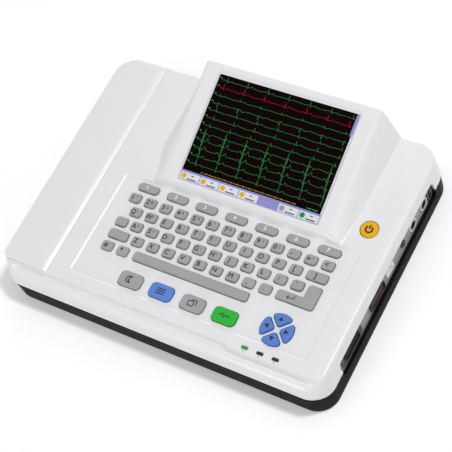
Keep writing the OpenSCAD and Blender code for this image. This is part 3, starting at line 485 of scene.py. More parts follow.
for slot, shine in (("base", 0.06), ("key_yellow", 0.3), ("screen_glass", 0.18)):
    SURFACES[slot].set(Specular_IOR_Level=shine)
MATERIAL = {slot: s.material for slot, s in SURFACES.items()}
INK, INK_WHITE = MATERIAL["ink"], MATERIAL["ink_white"]


def dress_frame():
    """Every CAD node gets the material of its slot."""
    for part in frame["record"]["subparts"]:
        mesh = frame["nodes"][part["node"]].data
        mesh.materials.clear()
        mesh.materials.append(MATERIAL[part["material_slot"]])


# Cover

def bezel_height(y):
    return SCREEN_Z - DECK_Z + (y - SCREEN_Y) * math.tan(TILT)


def cover_height(x, y):
    """Height of the cover's top at a place: the deck with the screen housing on it."""
    h = bezel_height(y)
    lift = np.maximum(h, 1)
    fade = smooth((y - HOUSE_FRONT[0]) / FLANK_FADE)
    left = lift * (1 - (BEZEL_X[0] - x) / (FLANK_FRONT + (FLANK_LEFT - FLANK_FRONT) * fade))
    right = lift * (1 - (x - BEZEL_X[1]) / (FLANK_FRONT + (FLANK_RIGHT - FLANK_FRONT) * fade))
    front = (y - HOUSE_FRONT[0]) * bezel_height(HOUSE_FRONT[1]) / (HOUSE_FRONT[1] - HOUSE_FRONT[0])
    top = soft_min(h, left, HOUSE_SOFT["left"])
    top = soft_min(top, right, HOUSE_SOFT["right"])
    top = soft_min(top, front, HOUSE_SOFT["front"])
    return DECK_Z + soft_max(top, 0 * top, HOUSE_SOFT["foot"]) * (y > FINE_FRONT[0] - 1)


def deck_edge(x):
    """Offset of the deck's front edge from the inner plan: the edge comes forward under the lenses."""
    back, fore = DECK_FRONT
    start, run = FRONT_STEP
    return back + (fore - back) * smooth((x - start) / run) - HALF_D + CORNER_R


def front_profile(x, flat, bend, wall):
    """Section of the front: deck, crisp edge, hollow cove with a gutter at its foot, lip that rolls under."""
    edge, foot = deck_edge(x), CORNER_R - LIP_RUN
    rows = [((edge - EDGE_R) * i / flat, DECK_Z, 1) for i in range(1, flat + 1)]
    rows.append((edge - 0.2 * EDGE_R, DECK_Z - 0.24 * EDGE_R, 1))
    start, run, low = DECK_Z - 1.2 * EDGE_R, foot - GUTTER[0] - edge, LIP_TOP - GUTTER[1]
    for i in range(bend - 1):
        t = math.radians(90 * i / (bend - 2))
        rows.append((edge + run * (1 - math.cos(t)), start - (start - low) * math.sin(t), 1))
    belly, under = LIP_ROLL
    for i in range(wall - 2):
        s = i / (wall - 3)
        t = math.radians(90 * s)
        o = foot + LIP_RUN * (LIP_ROUND * math.sin(t) + (1 - LIP_ROUND) * s)
        z = belly + (LIP_TOP - belly) * (LIP_ROUND * math.cos(t) + (1 - LIP_ROUND) * (1 - s))
        rows.append((o, z, 1 - s))
    rows.append((CORNER_R - 0.3 * under, (belly + PART_Z) / 2, 0))
    rows.append((CORNER_R - under, PART_Z, 0))
    return rows


def side_profile(kind, x):
    """Section of the cover's border: offset from the inner plan, height and share of the housing's height."""
    flat, bend, wall = 6, 9, 13
    if kind == "front":
        return front_profile(x, flat, bend, wall)
    lean, radius, strip, fall = SIDES[kind]
    edge = CORNER_R - lean
    rows = [((edge - radius - strip) * i / flat, DECK_Z, 1) for i in range(1, flat + 1)]
    for i in range(bend):
        t = math.radians(90 * i / (bend - 1))
        rows.append((edge - radius + radius * math.sin(t), DECK_Z - fall - radius * (1 - math.cos(t)), 1))
    low = DECK_Z - fall - radius
    for i in range(1, wall + 1):
        s = i / wall
        rows.append((edge + (CORNER_R - edge) * s, low + (PART_Z - low) * s, 1 - s))
    return rows


def border_stations(xs, ys):
    """Places round the inner plan, anticlockwise, each with its grid point and its outward direction."""
    nx, ny = len(xs), len(ys)
    fan = 12
    corners = ((nx - 1, 0, -90), (nx - 1, ny - 1, 0), (0, ny - 1, 90), (0, 0, 180))
    runs = (
        [(i, 0) for i in range(nx)], [(nx - 1, j) for j in range(ny)],
        [(i, ny - 1) for i in reversed(range(nx))], [(0, j) for j in reversed(range(ny))],
    )
    stations = []
    for run, (ci, cj, start) in zip(runs, corners):
        stations += [(i, j, start) for i, j in run]
        stations += [(ci, cj, start + 90 * k / fan) for k in range(1, fan)]
    return stations


def grid_lines(spans):
    """Sorted lines from (start, end, step) spans."""
    lines = [np.linspace(a, b, max(2, round((b - a) / step) + 1)) for a, b, step in spans]
    return np.unique(np.round(np.concatenate(lines), 4))


def cover_skin():
    """Outer skin of the cover as vertices and faces, with its last ring at the parting line."""
    in_x, in_y = HALF_W - CORNER_R, HALF_D - CORNER_R
    (l0, l1), (r0, r1), (f0, f1) = FINE_LEFT, FINE_RIGHT, FINE_FRONT
    xs = grid_lines(((-in_x, l0, 6), (l0, l1, 0.75), (l1, r0, 7), (r0, r1, 0.75), (r1, in_x, 4)))
    ys = grid_lines(((-in_y, f0, 9), (f0, f1, 0.7), (f1, in_y, 2.5)))
    gx, gy = np.meshgrid(xs, ys, indexing="ij")
    gz = cover_height(gx, gy)
    verts = [tuple(v) for v in np.stack([gx, gy, gz], -1).reshape(-1, 3)]
    ny = len(ys)
    faces = [
        (i * ny + j, (i + 1) * ny + j, (i + 1) * ny + j + 1, i * ny + j + 1)
        for i in range(len(xs) - 1) for j in range(ny - 1)
    ]
    stations = border_stations(xs, ys)
    kinds = (("front", -90), ("right", 0), ("back", 90), ("left", 180))
    columns = []
    for i, j, turn in stations:
        bx, by = xs[i], ys[j]
        dx, dy = math.cos(math.radians(turn)), math.sin(math.radians(turn))
        total = 0
        for kind, toward in kinds:
            share = max(math.cos(math.radians(turn - toward)), 0) ** 2
            if share > 1e-6:
                total = total + share * np.array(side_profile(kind, bx))
        column = [i * ny + j]
        for o, z, keep in total:
            x, y = bx + dx * o, by + dy * o
            z += keep * (float(cover_height(np.array(x), np.array(y))) - DECK_Z)
            column.append(len(verts))
            verts.append((x, y, z))
        columns.append(column)
    for a, b in zip(columns, columns[1:] + columns[:1]):
        for k in range(len(a) - 1):
            face = [a[k], a[k + 1], b[k + 1], b[k]]
            faces.append(tuple(face if a[k] != b[k] else face[:3]))
    return verts, faces, [c[-1] for c in columns]


def thick_skin(verts, faces, rim, thickness):
    """Closed shell: the skin, its copy drawn inwards along the normals, and a flat strip at the rim."""
    v = np.array(verts)
    normal = np.zeros_like(v)
    for face in faces:
        p = v[list(face)]
        n = np.cross(p[2] - p[0], p[-1] - p[1]) if len(face) == 4 else np.cross(p[1] - p[0], p[2] - p[0])
        normal[list(face)] += n
    normal /= np.linalg.norm(normal, axis=1)[:, None]
    inner = v - normal * thickness
    for i in rim:
        flat = normal[i] * (1, 1, 0)
        inner[i] = v[i] - flat / np.linalg.norm(flat) * thickness
    n = len(v)
    shell = list(faces) + [tuple(i + n for i in reversed(f)) for f in faces]
    for a, b in zip(rim, rim[1:] + rim[:1]):
        shell.append((a, a + n, b + n, b))
    return [tuple(p) for p in np.concatenate([v, inner])], shell


def wall_cutters():
    """Openings of the right side and of the back, through both walls."""
    cy, l, cz, h = SIDE_OPENING
    side = prism(round_rect(l, h, OPENING_R, 8, cy, cz), HALF_W - OPENING_DEEP, HALF_W + OPENING_OUT)
    cx, l, cz, h = REAR_OPENING
    rear = prism(round_rect(l, h, OPENING_R, 8, -cx, cz), HALF_D - OPENING_DEEP, HALF_D + OPENING_OUT)
    return [moved(side, to_right_side), moved(rear, to_back)]


def bar_y(x, z, r, y0, y1, n=24):
    ring = arc(x, z, r, 0, 360 - 360 / n, n - 1)
    return loft([[(px, y, pz) for px, pz in reversed(ring)] for y in (y0, y1)])


def box(x, y, z):
    outline = [(x[0], y[0]), (x[1], y[0]), (x[1], y[1]), (x[0], y[1])]
    return prism(outline, z[0], z[1])


def screen_cutter():
    """Window of the display with a bevelled frame, wider above and at the right."""
    rings = []
    for grow, z in ((0, -12), (0, -BEVEL_DROP), (1, 0.3), (1, 6)):
        left, right, low, high = (grow * bevel - WINDOW_LAP for bevel in SCREEN_BEVEL)
        w, l = SCREEN_W + left + right, SCREEN_L + low + high
        cx, cy = (right - left) / 2, (SCREEN_L + high - low) / 2
        rings.append(level(round_rect(w, l, WINDOW_R[grow], 6, cx, cy), z))
    return moved(loft(rings), to_screen)


def panel_cutter():
    """Recess of the keyboard: a flat floor, a slow start and a slope that runs out above the deck."""
    cx, cy = sum(PANEL_X) / 2, sum(PANEL_Y) / 2
    w, d = PANEL_X[1] - PANEL_X[0], PANEL_Y[1] - PANEL_Y[0]
    rings = []
    for out, up in ((0, 0), (0.3, 0.078), (1, 1.3)):
        grow = PANEL_BEVEL * (out - 0.8)
        outline = round_rect(w + 2 * grow, d + 2 * grow, PANEL_R + grow, 10, cx, cy)
        rings.append(level(outline, DECK_Z + PANEL_DROP * (up - 1)))
    return loft(rings)


def make_cover():
    cover = new_object("cover_shell", thick_skin(*cover_skin(), WALL))
    carve(cover, panel_cutter())
    through = (DECK_Z - 8, DECK_Z + 4)
    cuts = [prism(inset(o, -KEY_GAP), *through) for keys in KEYS.values() for o in keys]
    cuts += [prism(inset(o, -LENS_GAP), *through) for o in LENSES]
    cuts += [screen_cutter(), *wall_cutters()]
    cuts += [box(BAY_X, (-BAY_Y, BAY_Y), through)]
    carve(cover, joined(cuts))
    lid_lo, lid_hi = node_box("paper_lid")
    carve(cover, bar_y(HINGE_X, DECK_Z, BEAD_R + RUN_GAP, lid_lo.y - RUN_GAP, lid_hi.y + RUN_GAP))
    carve(cover, box((-HALF_W - 1, BAY_X[0] + 1), (-SLOT_Y, SLOT_Y), (SLOT_Z, DECK_Z + 3)), sharp=22)
    return piece(cover, "housing", "cover", "top_cover")


# Lid

def make_lid():
    """Lid that steps down to a bead along its hinge, where it turns in a trough of the cover."""
    lo, hi = node_box("paper_lid")
    x0, y0, y1 = lo.x, lo.y, hi.y
    z0, z1 = DECK_Z + 0.2, hi.z
    back_r, front_r, edge_r, end_r = 20, 8, 2.6, 1.1

    def left_edge(y):
        for r, near in ((back_r, y1 - y), (front_r, y - y0)):
            if near < r:
                return x0 + r - math.sqrt(max(r * r - (r - near) ** 2, 0))
        return x0

    def top(y):
        near = min(y - y0, y1 - y)
        return z1 if near > end_r else z1 - end_r + math.sqrt(max(end_r**2 - (end_r - near) ** 2, 0))

    steps = [1 - math.cos(math.radians(90 * i / 16)) for i in range(17)]
    ys = [y0 + front_r * s for s in steps] + [y1 - back_r * s for s in reversed(steps)]
    ys += [y0 + front_r + (y1 - back_r - y0 - front_r) * i / 24 for i in range(1, 24)]
    bead = arc(HINGE_X, DECK_Z, BEAD_R, RAMP_AT, -185, 28)
    x1, ramp_z = bead[0]
    slope = math.tan(math.radians(RAMP_TILT))
    flat_x = x1 - (z1 - ramp_z) / slope - 2 * RAMP_SOFT
    rings = []
    for y in sorted(ys):
        xl, zt = left_edge(y), top(y)
        ring = [(xl, y, z0)]
        drop = min(edge_r, zt - z0 - 0.05)
        for i in range(7):
            t = math.radians(90 * i / 6)
            ring.append((xl + drop * (1 - math.cos(t)), y, zt - drop * (1 - math.sin(t))))
        for i in range(1, 6):
            ring.append((xl + drop + (flat_x - xl - drop) * i / 6, y, zt))
        for i in range(12):
            x = flat_x + (x1 - flat_x) * i / 12
            ring.append((x, y, float(soft_min(zt, ramp_z + (x1 - x) * slope, RAMP_SOFT))))
        ring += [(x, y, z) for x, z in bead]
        rings.append(ring)
    lid = new_object("lid_panel", loft(rings))
    carve(lid, joined([bar_y(HINGE_X, DECK_Z, PIN_R, y - PIN_L / 2, y + PIN_L / 2) for y in HINGE_YS]))
    return piece(lid, "lid", "cover", "paper_lid")


# Base

def make_base():
    """Dark tray: a skirt with a soft lower edge round a raised floor, with its openings and screw wells."""
    lo, hi = node_box("base_tray")
    w, d = hi.x - lo.x, hi.y - lo.y
    corner = CORNER_R - (HALF_W - hi.x)
    outer = []
    for i in range(7):
        t = math.radians(90 * i / 6)
        outer.append((BASE_FILLET * (1 - math.sin(t)), lo.z + BASE_FILLET * (1 - math.cos(t))))
    outer.append((0, hi.z))
    rings = [level(round_rect(w - 2 * g, d - 2 * g, corner - g, 14), z) for g, z in outer]
    base = new_object("base_shell", loft(rings))
    inner = round_rect(w - 2 * BASE_WALL, d - 2 * BASE_WALL, corner - BASE_WALL, 14)
    below, above = BASE_FLOOR
    carve(base, joined([prism(inner, above, hi.z + 5), prism(inner, lo.z - 5, below)]))
    bosses = [prism(disc(p, BOSS_R), above - 1, hi.z) for p in places("cover_screws")]
    carve(base, joined(bosses), "UNION")
    carve(base, joined(wall_cutters() + floor_cutters()))
    return piece(base, "housing", "base", "base_tray")


def places(node):
    """Middles of the separate solids in a CAD node."""
    return [tuple((lo + hi) / 2)[:2] for lo, hi in islands(node)]


def disc(at, r, n=32):
    return arc(at[0], at[1], r, 0, 360 - 360 / n, n - 1)


def floor_cutters():
    """Battery door's window, screw wells, seats of the feet and slots of the speaker."""
    below, above = BASE_FLOOR
    through = (below - 2, above + 1.5)
    lo, hi = node_box("battery_door")
    middle = (lo + hi) / 2
    tab_w, tab_l, tab_t = DOOR_TAB
    w, d = hi.x - lo.x + DOOR_GAP, hi.y - lo.y + DOOR_GAP
    cuts = [prism(round_rect(w - 2 * tab_l, d, 3, 5, middle.x, middle.y), *through)]
    cuts += [prism(round_rect(w, tab_w + DOOR_GAP, 3, 5, middle.x, middle.y), below - 2, below + tab_t)]
    cuts += [prism(disc(p, WELL_R), below - 2, below + WELL_DEEP) for p in places("cover_screws")]
    cuts += [prism(disc(p, BORE_R), below + WELL_DEEP - 1, PART_Z + 1) for p in places("cover_screws")]
    cuts += [prism(disc(p, SEAT_R), below - 2, below + SEAT_DEEP) for p in places("rubber_feet")]
    lo, hi = node_box("speaker")
    middle = (lo + hi) / 2
    for i in range(-2, 3):
        outline = round_rect(*SPEAKER_SLOT, 1.2, 4, middle.x + SPEAKER_PITCH * i, middle.y)
        cuts.append(prism(outline, *through))
    return cuts


# Keys

def islands(node):
    """Boxes of the separate solids in a CAD node, in millimetres."""
    mesh = frame["nodes"][node].data
    co = np.array([v.co for v in mesh.vertices]) / MM
    _, same = np.unique(np.round(co, 3), axis=0, return_inverse=True)
    same = same.reshape(-1)
    group = np.arange(same.max() + 1)

    def root(i):
        while group[i] != i:
            group[i] = group[group[i]]
            i = group[i]
        return i

    for edge in mesh.edges:
        a, b = root(same[edge.vertices[0]]), root(same[edge.vertices[1]])
        group[max(a, b)] = min(a, b)
    roots = np.array([root(i) for i in same])
    boxes = [(co[roots == r].min(0), co[roots == r].max(0)) for r in np.unique(roots)]
    return sorted(boxes, key=lambda b: (b[0][0], b[0][1]))


def plain_keys(node, r):
    """Outlines of a row of round-cornered keys, from the CAD solids without their flanges."""
    outlines = []
    for lo, hi in islands(node):
        w, d, _ = hi - lo - 2 * (FLANGE_W + KEY_TRIM)
        cx, cy, _ = (lo + hi) / 2
        outlines.append(round_rect(w, d, r, 7, cx, cy))
    return outlines


def enter_outline():
    """L-shaped enter key: a foot on the lower letter row and a stem up its right side."""
    lo, hi = islands("enter_key")[0]
    edge = FLANGE_W + KEY_TRIM
    x0, x1, y0, y1 = lo[0] + edge, hi[0] - edge, lo[1] + edge, hi[1] - edge
    bar_lo, bar_hi = islands("space_bar")[0]
    xs, ys, r, n = x1 - ENTER_STEM + 2 * KEY_TRIM, y0 + bar_hi[1] - bar_lo[1] - 2 * edge, KEY_R, 7
    inner = 1.2
    points = arc(x1 - r, y1 - r, r, 0, 90, n) + arc(xs + r, y1 - r, r, 90, 180, n)
    points += list(reversed(arc(xs - inner, ys + inner, inner, 270, 360, 4)))
    points += arc(x0 + r, ys - r, r, 90, 180, n) + arc(x0 + r, y0 + r, r, 180, 270, n)
    return points + arc(x1 - r, y0 + r, r, 270, 360, n)


def pad_centre():
    lo, hi = islands("pad_left")[0], islands("pad_right")[0]
    up, down = islands("pad_up")[0], islands("pad_down")[0]
    cx, cy = (lo[0][0] + hi[1][0]) / 2, (down[0][1] + up[1][1]) / 2
    return cx, cy, (hi[1][0] - lo[0][0]) / 2 - FLANGE_W


def pad_outline(turn):
    """One sector of the four-way pad: the rim, two rounded outer corners and a blunt inner end."""
    cx, cy, r = pad_centre()
    reach = PAD_APEX + PAD_CORNER_R * math.sqrt(2)
    x = (reach + math.sqrt(2 * (r - PAD_CORNER_R) ** 2 - reach**2)) / 2
    y = x - reach
    half = math.degrees(math.atan2(y, x))
    points = arc(0, 0, r, -half, half, 14) + arc(x, y, PAD_CORNER_R, half, 135, 7)[1:]
    points += arc(PAD_APEX + PAD_END_R * math.sqrt(2), 0, PAD_END_R, 135, 225, 8)
    points += arc(x, -y, PAD_CORNER_R, 225, 360 - half, 7)[:-1]
    c, s = math.cos(math.radians(turn)), math.sin(math.radians(turn))
    return [(cx + x * c - y * s, cy + x * s + y * c) for x, y in points]


def disc_outline(node):
    lo, hi = islands(node)[0]
    return disc((lo + hi) / 2, (hi[0] - lo[0]) / 2 - FLANGE_W, 48)


KEY_ROWS = (
    "function_keys", "digit_keys", "upper_letter_keys", "middle_letter_keys", "lower_letter_keys",
    "small_keys", "space_bar",
)
BIG_KEYS = ("sleep_key", "mode_key", "copy_key", "start_key")
PAD_TURNS = {"pad_right": 0, "pad_up": 90, "pad_left": 180, "pad_down": 270}

# Outlines of the caps of each node
KEYS = {node: plain_keys(node, FKEY_R if node == "function_keys" else KEY_R) for node in KEY_ROWS}
KEYS["enter_key"] = [enter_outline()]
KEYS |= {node: plain_keys(node, BIG_R) for node in BIG_KEYS}
KEYS |= {node: [pad_outline(turn)] for node, turn in PAD_TURNS.items()}
KEYS["power_button"] = [disc_outline("power_button")]

KEY_LOOKS = {"mode_key": "key_blue", "start_key": "key_green", "power_button": "key_yellow"}
KEY_LOOKS |= {node: "pad_blue" for node in PAD_TURNS}
LENS_R = 1.2
LENS_GAP = 0.1


def lens_outlines(node):
    outlines = []
    for lo, hi in islands(node):
        cx, cy, _ = (lo + hi) / 2
        outlines.append(round_rect(hi[0] - lo[0], hi[1] - lo[1], LENS_R, 5, cx, cy))
    return outlines


LENSES = lens_outlines("power_lens") + lens_outlines("status_lenses")


def cap_drop(depth):
    """Drop from the top of a key cap at a distance in from its outline: a round edge, then a slight crown."""
    edge = max(KEY_EDGE - depth, 0) / KEY_EDGE
    crown = max(1 - depth / CROWN_L, 0)
    return KEY_EDGE * (1 - math.sqrt(max(1 - edge * edge, 0))) + KEY_CROWN * crown * crown


def key_cap(outline, low, top):
    """Key cap with a flange below the deck, sides that draw in a little and a crowned top."""
    rings = [level(inset(outline, -FLANGE_W), low), level(inset(outline, -FLANGE_W), low + FLANGE_T)]
    rings += [level(outline, low + FLANGE_T + 0.01), level(outline, DECK_Z - 0.3)]
    for depth in CAP_DEPTHS:
        rings.append(level(inset(outline, KEY_DRAFT + depth), top - cap_drop(depth)))
    return loft(rings)


def shade_lip(outline):
    """Dark lip of the key mat just below the deck: it fills the gap round a key as painted shade."""
    inner, outer = inset(outline, -SHADE_LIP_GAP), inset(outline, -KEY_GAP - SHADE_LIP_LAP)
    z0, z1 = DECK_Z - SHADE_LIP_DROP - SHADE_LIP_T, DECK_Z - SHADE_LIP_DROP
    rings = [level(outer, z0), level(outer, z1), level(inner, z1), level(inner, z0), level(outer, z0)]
    return loft(rings, closed=False)


def make_keys():
    for node, outlines in KEYS.items():
        lo, hi = node_box(node)
        caps = joined([key_cap(o, lo.z, hi.z) for o in outlines])
        slot = KEY_LOOKS.get(node, "key_grey")
        piece(new_object(node.replace("_keys", "") + "_caps", caps, 50), node, slot, node)
    # Dark lips in the gaps round the keys: painted shade, standing in for the shade that falls in the gaps
    shade_lips = joined([shade_lip(o) for outlines in KEYS.values() for o in outlines])
    piece(new_object("gap_shade_lips", shade_lips), "housing", "silicone")


def make_lenses():
    for node, slot in (("power_lens", "lens_green"), ("status_lenses", "lens_dark")):
        lo, hi = node_box(node)
        shapes = []
        for o in lens_outlines(node):
            rings = [level(o, lo.z)]
            for depth, drop in ((0, 0.35), (0.12, 0.18), (0.3, 0.08), (0.6, 0.02), (0.95, 0)):
                rings.append(level(inset(o, depth), hi.z - drop))
            shapes.append(loft(rings))
        piece(new_object(node + "_caps", joined(shapes)), "housing", slot, node)


# Legends: plain letters, numerals and signs only

def glyphs(text, size, cx, cy, z):
    """Flat outlines of a sign in the built-in typeface, centred on a place."""
    curve = bpy.data.curves.new("glyph", "FONT")
    curve.body = text
    curve.size = size
    curve.align_x = "CENTER"
    curve.align_y = "CENTER"
    curve.resolution_u = 3
    obj = bpy.data.objects.new("glyph", curve)
    bpy.context.scene.collection.objects.link(obj)
    seen = obj.evaluated_get(bpy.context.evaluated_depsgraph_get())
    mesh = seen.to_mesh()
    verts = [(cx + v.co.x, cy + v.co.y, z) for v in mesh.vertices]
    faces = [tuple(p.vertices) for p in mesh.polygons]
    seen.to_mesh_clear()
    bpy.data.objects.remove(obj)
    return verts, faces


def centre(outline):
    p = np.array(outline)
    return (p.min(0) + p.max(0)) / 2


# Signs of each row of keys: the main sign, the small second sign and the size of the main sign
LEGENDS = {
    "function_keys": ("1234567", "", 6.2),
    "digit_keys": ("1234567890-=<", "!@#$%^&*()_+", 7.4),
    "upper_letter_keys": ("QWERTYUIOP[]", "=+:;~?", 7.4),
    "middle_letter_keys": (" ASDFGHJKL;'", " =+:;~?", 7.4),
    "lower_letter_keys": (" ZXCVBNM,.", "", 7.4),
    "small_keys": ("#*", "", 7.4),
}
LEGEND_LIFT = 0.03
LEGEND_WEIGHT = 0.19
SINGLE_AT = (-1.2, 0)
MAIN_AT = (-2.2, -0.4)
SECOND_AT = (2.6, 0.9)
SECOND_SIZE = 4.6
SIGN_W = 1.3
ARROW_R = 3.2
MARK = (2.4, 0.5)
MARK_FRONT = 3.4


def key_top(node):
    return node_box(node)[1].z + LEGEND_LIFT


def bold(text, size, at, z):
    """Sign made heavier by copies of it, each moved a little."""
    shape = glyphs(text, size, at[0], at[1], z)
    copies = []
    for i, (dx, dy) in enumerate(((-1, 0), (1, 0), (0, -1), (0, 1))):
        step = Vector((dx * LEGEND_WEIGHT, dy * LEGEND_WEIGHT, 0.004 * i))
        copies.append(moved(shape, lambda v: tuple(Vector(v) + step)))
    return joined(copies)


def line(x0, y0, x1, y1):
    return [(x0 + (x1 - x0) * i / 4, y0 + (y1 - y0) * i / 4) for i in range(5)]


def make_legends():
    for node, (signs, seconds, size) in LEGENDS.items():
        z = key_top(node)
        shapes = []
        for sign, second, outline in zip(signs, seconds.ljust(len(signs)), KEYS[node]):
            if sign == " ":
                continue
            at = SINGLE_AT if second == " " else MAIN_AT
            shapes.append(bold(sign, size, centre(outline) + at, z))
            if second != " ":
                shapes.append(glyphs(second, SECOND_SIZE, *(centre(outline) + SECOND_AT), z))
        ink = INK_WHITE if node == "function_keys" else INK
        name = node.replace("_keys", "") + "_legends"
        piece(new_object(name, joined(shapes)), node, "key_grey", material=ink)


def sign_on(node, name, paths, slot, width=SIGN_W, at=None):
    """Sign of strokes on a key, from paths round its middle."""
    cx, cy = centre(KEYS[node][0]) if at is None else at
    z = key_top(node)
    strokes = [stroke([(cx + x, cy + y, z) for x, y in path], width) for path in paths]
    piece(new_object(name, joined(strokes)), node, slot, material=INK)


def triangle(cx, cy, size, turn, z):
    return level(arc(cx, cy, size, turn, turn + 240, 2), z), [(0, 1, 2)]


def frame_path(x0, y0, x1, y1):
    return [line(x0, y0, x1, y0), line(x1, y0, x1, y1), line(x1, y1, x0, y1), line(x0, y1, x0, y0)]


def make_signs():
    """Plain signs on the pad, the power button, the four large keys and the enter key."""
    cx, cy, r = pad_centre()
    for node, turn in PAD_TURNS.items():
        x = cx + 0.6 * r * math.cos(math.radians(turn))
        y = cy + 0.6 * r * math.sin(math.radians(turn))
        arrow = triangle(x, y, ARROW_R, turn, key_top(node))
        piece(new_object(node + "_arrow", arrow), node, "pad_blue", material=INK)
    power = [arc(0, -0.3, 3.5, 125, 415, 28), line(0, 0.4, 0, 4.6)]
    sign_on("power_button", "power_sign", power, "key_yellow", 1.9)
    moon = [arc(-0.6, 0, 3.6, 50, 310, 20), arc(1.6, 0, 2.9, 110, 250, 14)]
    sign_on("sleep_key", "sleep_sign", moon, "key_grey")
    bars = [line(-5, y, 5, y) for y in (-2.6, 0, 2.6)]
    sign_on("mode_key", "mode_sign", bars, "key_blue")
    sheets = frame_path(-4.4, -3.2, 1.6, 2) + [line(-1.8, 3.6, 4.4, 3.6), line(4.4, 3.6, 4.4, -1.6)]
    sign_on("copy_key", "copy_sign", sheets, "key_grey", 1)
    strip = [[(-6, 0), (-3, 0), (-1.8, 2.6), (0, -3.2), (1.6, 1.6), (2.6, 0), (6, 0)]]
    sign_on("start_key", "start_sign", strip, "key_green")
    back = [line(5, 3.4, 5, 0), line(5, 0, -2.5, 0), [(-0.6, 1.8), (-2.8, 0), (-0.6, -1.8)]]
    lo, hi = islands("enter_key")[0]
    at = ((lo[0] + hi[0]) / 2 - 6, lo[1] + FLANGE_W + 5)
    sign_on("enter_key", "enter_sign", back, "key_grey", 0.9, at)


def make_marks():
    """Small plain marks printed in front of the lenses."""
    long, wide = MARK
    strokes = []
    for outline in LENSES:
        x, y = centre(outline)
        path = [(x + long * (t - 0.5), y - MARK_FRONT, DECK_Z + LEGEND_LIFT) for t in (0, 1 / 3, 2 / 3, 1)]
        strokes.append(stroke(path, wide))
    piece(new_object("lens_marks", joined(strokes)), "housing", "cover", material=INK)


# Display

def beat(t):
    """One heartbeat over a period from 0 to 1: a small wave, a sharp peak and a broad wave."""
    def wave(at, width, height):
        return height * math.exp(-(((t - at) / width) ** 2))
    peak = wave(0.44, 0.013, 1) - wave(0.415, 0.012, 0.16) - wave(0.465, 0.014, 0.28)
    return wave(0.3, 0.035, 0.13) + peak + wave(0.66, 0.05, 0.24)


# Picture on the display: margins, toolbar, side bar, and the height of the peak in each lead from the top
EDGE_MARGIN = 0.3
TOOLBAR_H = 11
BUTTONS = 7
EMPTY_BUTTON = 4
SIDE_BAR = (3.2, 24)
TRACE_MARGIN = (4, 6)
TRACE_W = 0.3
BEAT_L = 24.5
PEAKS = (5, 6, 2.6, -5.5, 3.4, 4, 3.6, -7, 17, 14, 9, 6)
RHYTHM_ROW = 1


def trace(row):
    """Path of one lead across the display, with a slight drift of its level."""
    side, above = TRACE_MARGIN
    pitch = (SCREEN_L - TOOLBAR_H - above) / len(PEAKS)
    y = SCREEN_L - above - row * pitch
    n = 420
    points = []
    for i in range(n + 1):
        x = side + (SCREEN_W - 2 * side) * i / n
        t = (x / BEAT_L + 0.06 * math.sin(row)) % 1
        points.append((x, y + PEAKS[row] * beat(t) + 0.25 * math.sin(x * 0.35 + row), 0.02))
    return points


def patch(x0, y0, x1, y1, lift):
    return [(x0, y0, lift), (x1, y0, lift), (x1, y1, lift), (x0, y1, lift)], [(0, 1, 2, 3)]


def dashes(x0, x1, y, high, seed):
    """Row of short bars of uneven length that stands for a line of small print."""
    shapes = []
    x = x0
    while x < x1:
        long = 2.2 + 1.6 * math.sin(seed + 1.7 * x)
        shapes.append(patch(x, y, min(x + long, x1), y + high, 0.05))
        x += long + 1.1
    return shapes


def toolbar_button(x, wide):
    """White face, round icon and two dark bars of a button, from its left end."""
    face = patch(x + 0.5, 1, x + wide - 0.5, TOOLBAR_H - 2, 0.05)
    middle = (x + 4.6, (TOOLBAR_H - 1) / 2)
    icon = level(disc(middle, 2.9, 20), 0.07), [tuple(range(20))]
    bars = [patch(x + 9, 1.9, x + wide - 3.4, 3.1, 0.07), patch(x + 13, 6, x + 16, 7, 0.07)]
    return face, icon, bars


def make_display():
    def place(v):
        """Place on the display's face, from its lower left corner."""
        return to_screen((v[0] - SCREEN_W / 2, v[1], v[2] - DISPLAY_DROP))

    def show(name, shapes, color):
        look = glowing(name, color, 1).material
        piece(new_object(name, moved(joined(shapes), place)), "housing", "display", material=look)

    x0, x1, y1 = EDGE_MARGIN, SCREEN_W - EDGE_MARGIN, SCREEN_L - EDGE_MARGIN
    show("display_ground", [patch(x0, x0, x1, y1, 0)], srgb(20, 9, 10))
    rows = [trace(row) for row in range(len(PEAKS))]
    labels = [patch(1.6, p[0][1] + 1.4, 4.2, p[0][1] + 2.4, 0.03) for p in rows]
    labels += dashes(SCREEN_W - 18, SCREEN_W - 5, TOOLBAR_H + 1.6, 1.2, 2)
    lines = [stroke(path, TRACE_W) for path in rows]
    rhythm = [lines.pop(RHYTHM_ROW)]
    show("display_traces", lines + labels, srgb(52, 150, 80))
    show("display_rhythm", rhythm, srgb(186, 34, 50))
    show("display_status", dashes(22, SCREEN_W - 30, TOOLBAR_H + 1.6, 1, 0), srgb(150, 136, 60))
    bar_w, bar_l = SIDE_BAR
    bars = [patch(x0, x0, x1, TOOLBAR_H, 0.03), patch(SCREEN_W - bar_w, SCREEN_L - bar_l, x1, y1, 0.03)]
    show("display_toolbar", bars, srgb(150, 146, 208))
    wide = (SCREEN_W - 1) / BUTTONS
    buttons = [toolbar_button(0.5 + i * wide, wide) for i in range(BUTTONS)
               if i != EMPTY_BUTTON]
    margin = patch(SCREEN_W - 1.5, TOOLBAR_H, x1, SCREEN_L - bar_l, 0.03)
    show("display_buttons", [face for face, _, _ in buttons] + [margin], srgb(226, 226, 236))
    show("display_icons", [icon for _, icon, _ in buttons[:4]], srgb(232, 178, 44))
    show("display_icon_grey", [buttons[4][1]], srgb(150, 156, 176))
    show("display_icon_green", [buttons[5][1]], srgb(40, 150, 84))
    show("display_print", [b for _, _, bars in buttons for b in bars], srgb(70, 70, 96))


# Connectors

# Round sockets: radii of the rim, the core and the bore, and depths behind the face
RIM_R = 7
CORE_R = 5.7
SOCKET_BORE = 3.6
RIM_L = 1.2
CORE_DROP = 0.3
BORE_L = 10.2

# Long connectors: wall of the serial shell, room before its insert, and pins
SHELL_T = 0.8
INSERT_DROP = 2
CONTACT_DEPTHS = (7, 0.5)
CONTACT_R = 0.6
CONTACT_ROW = 1.4


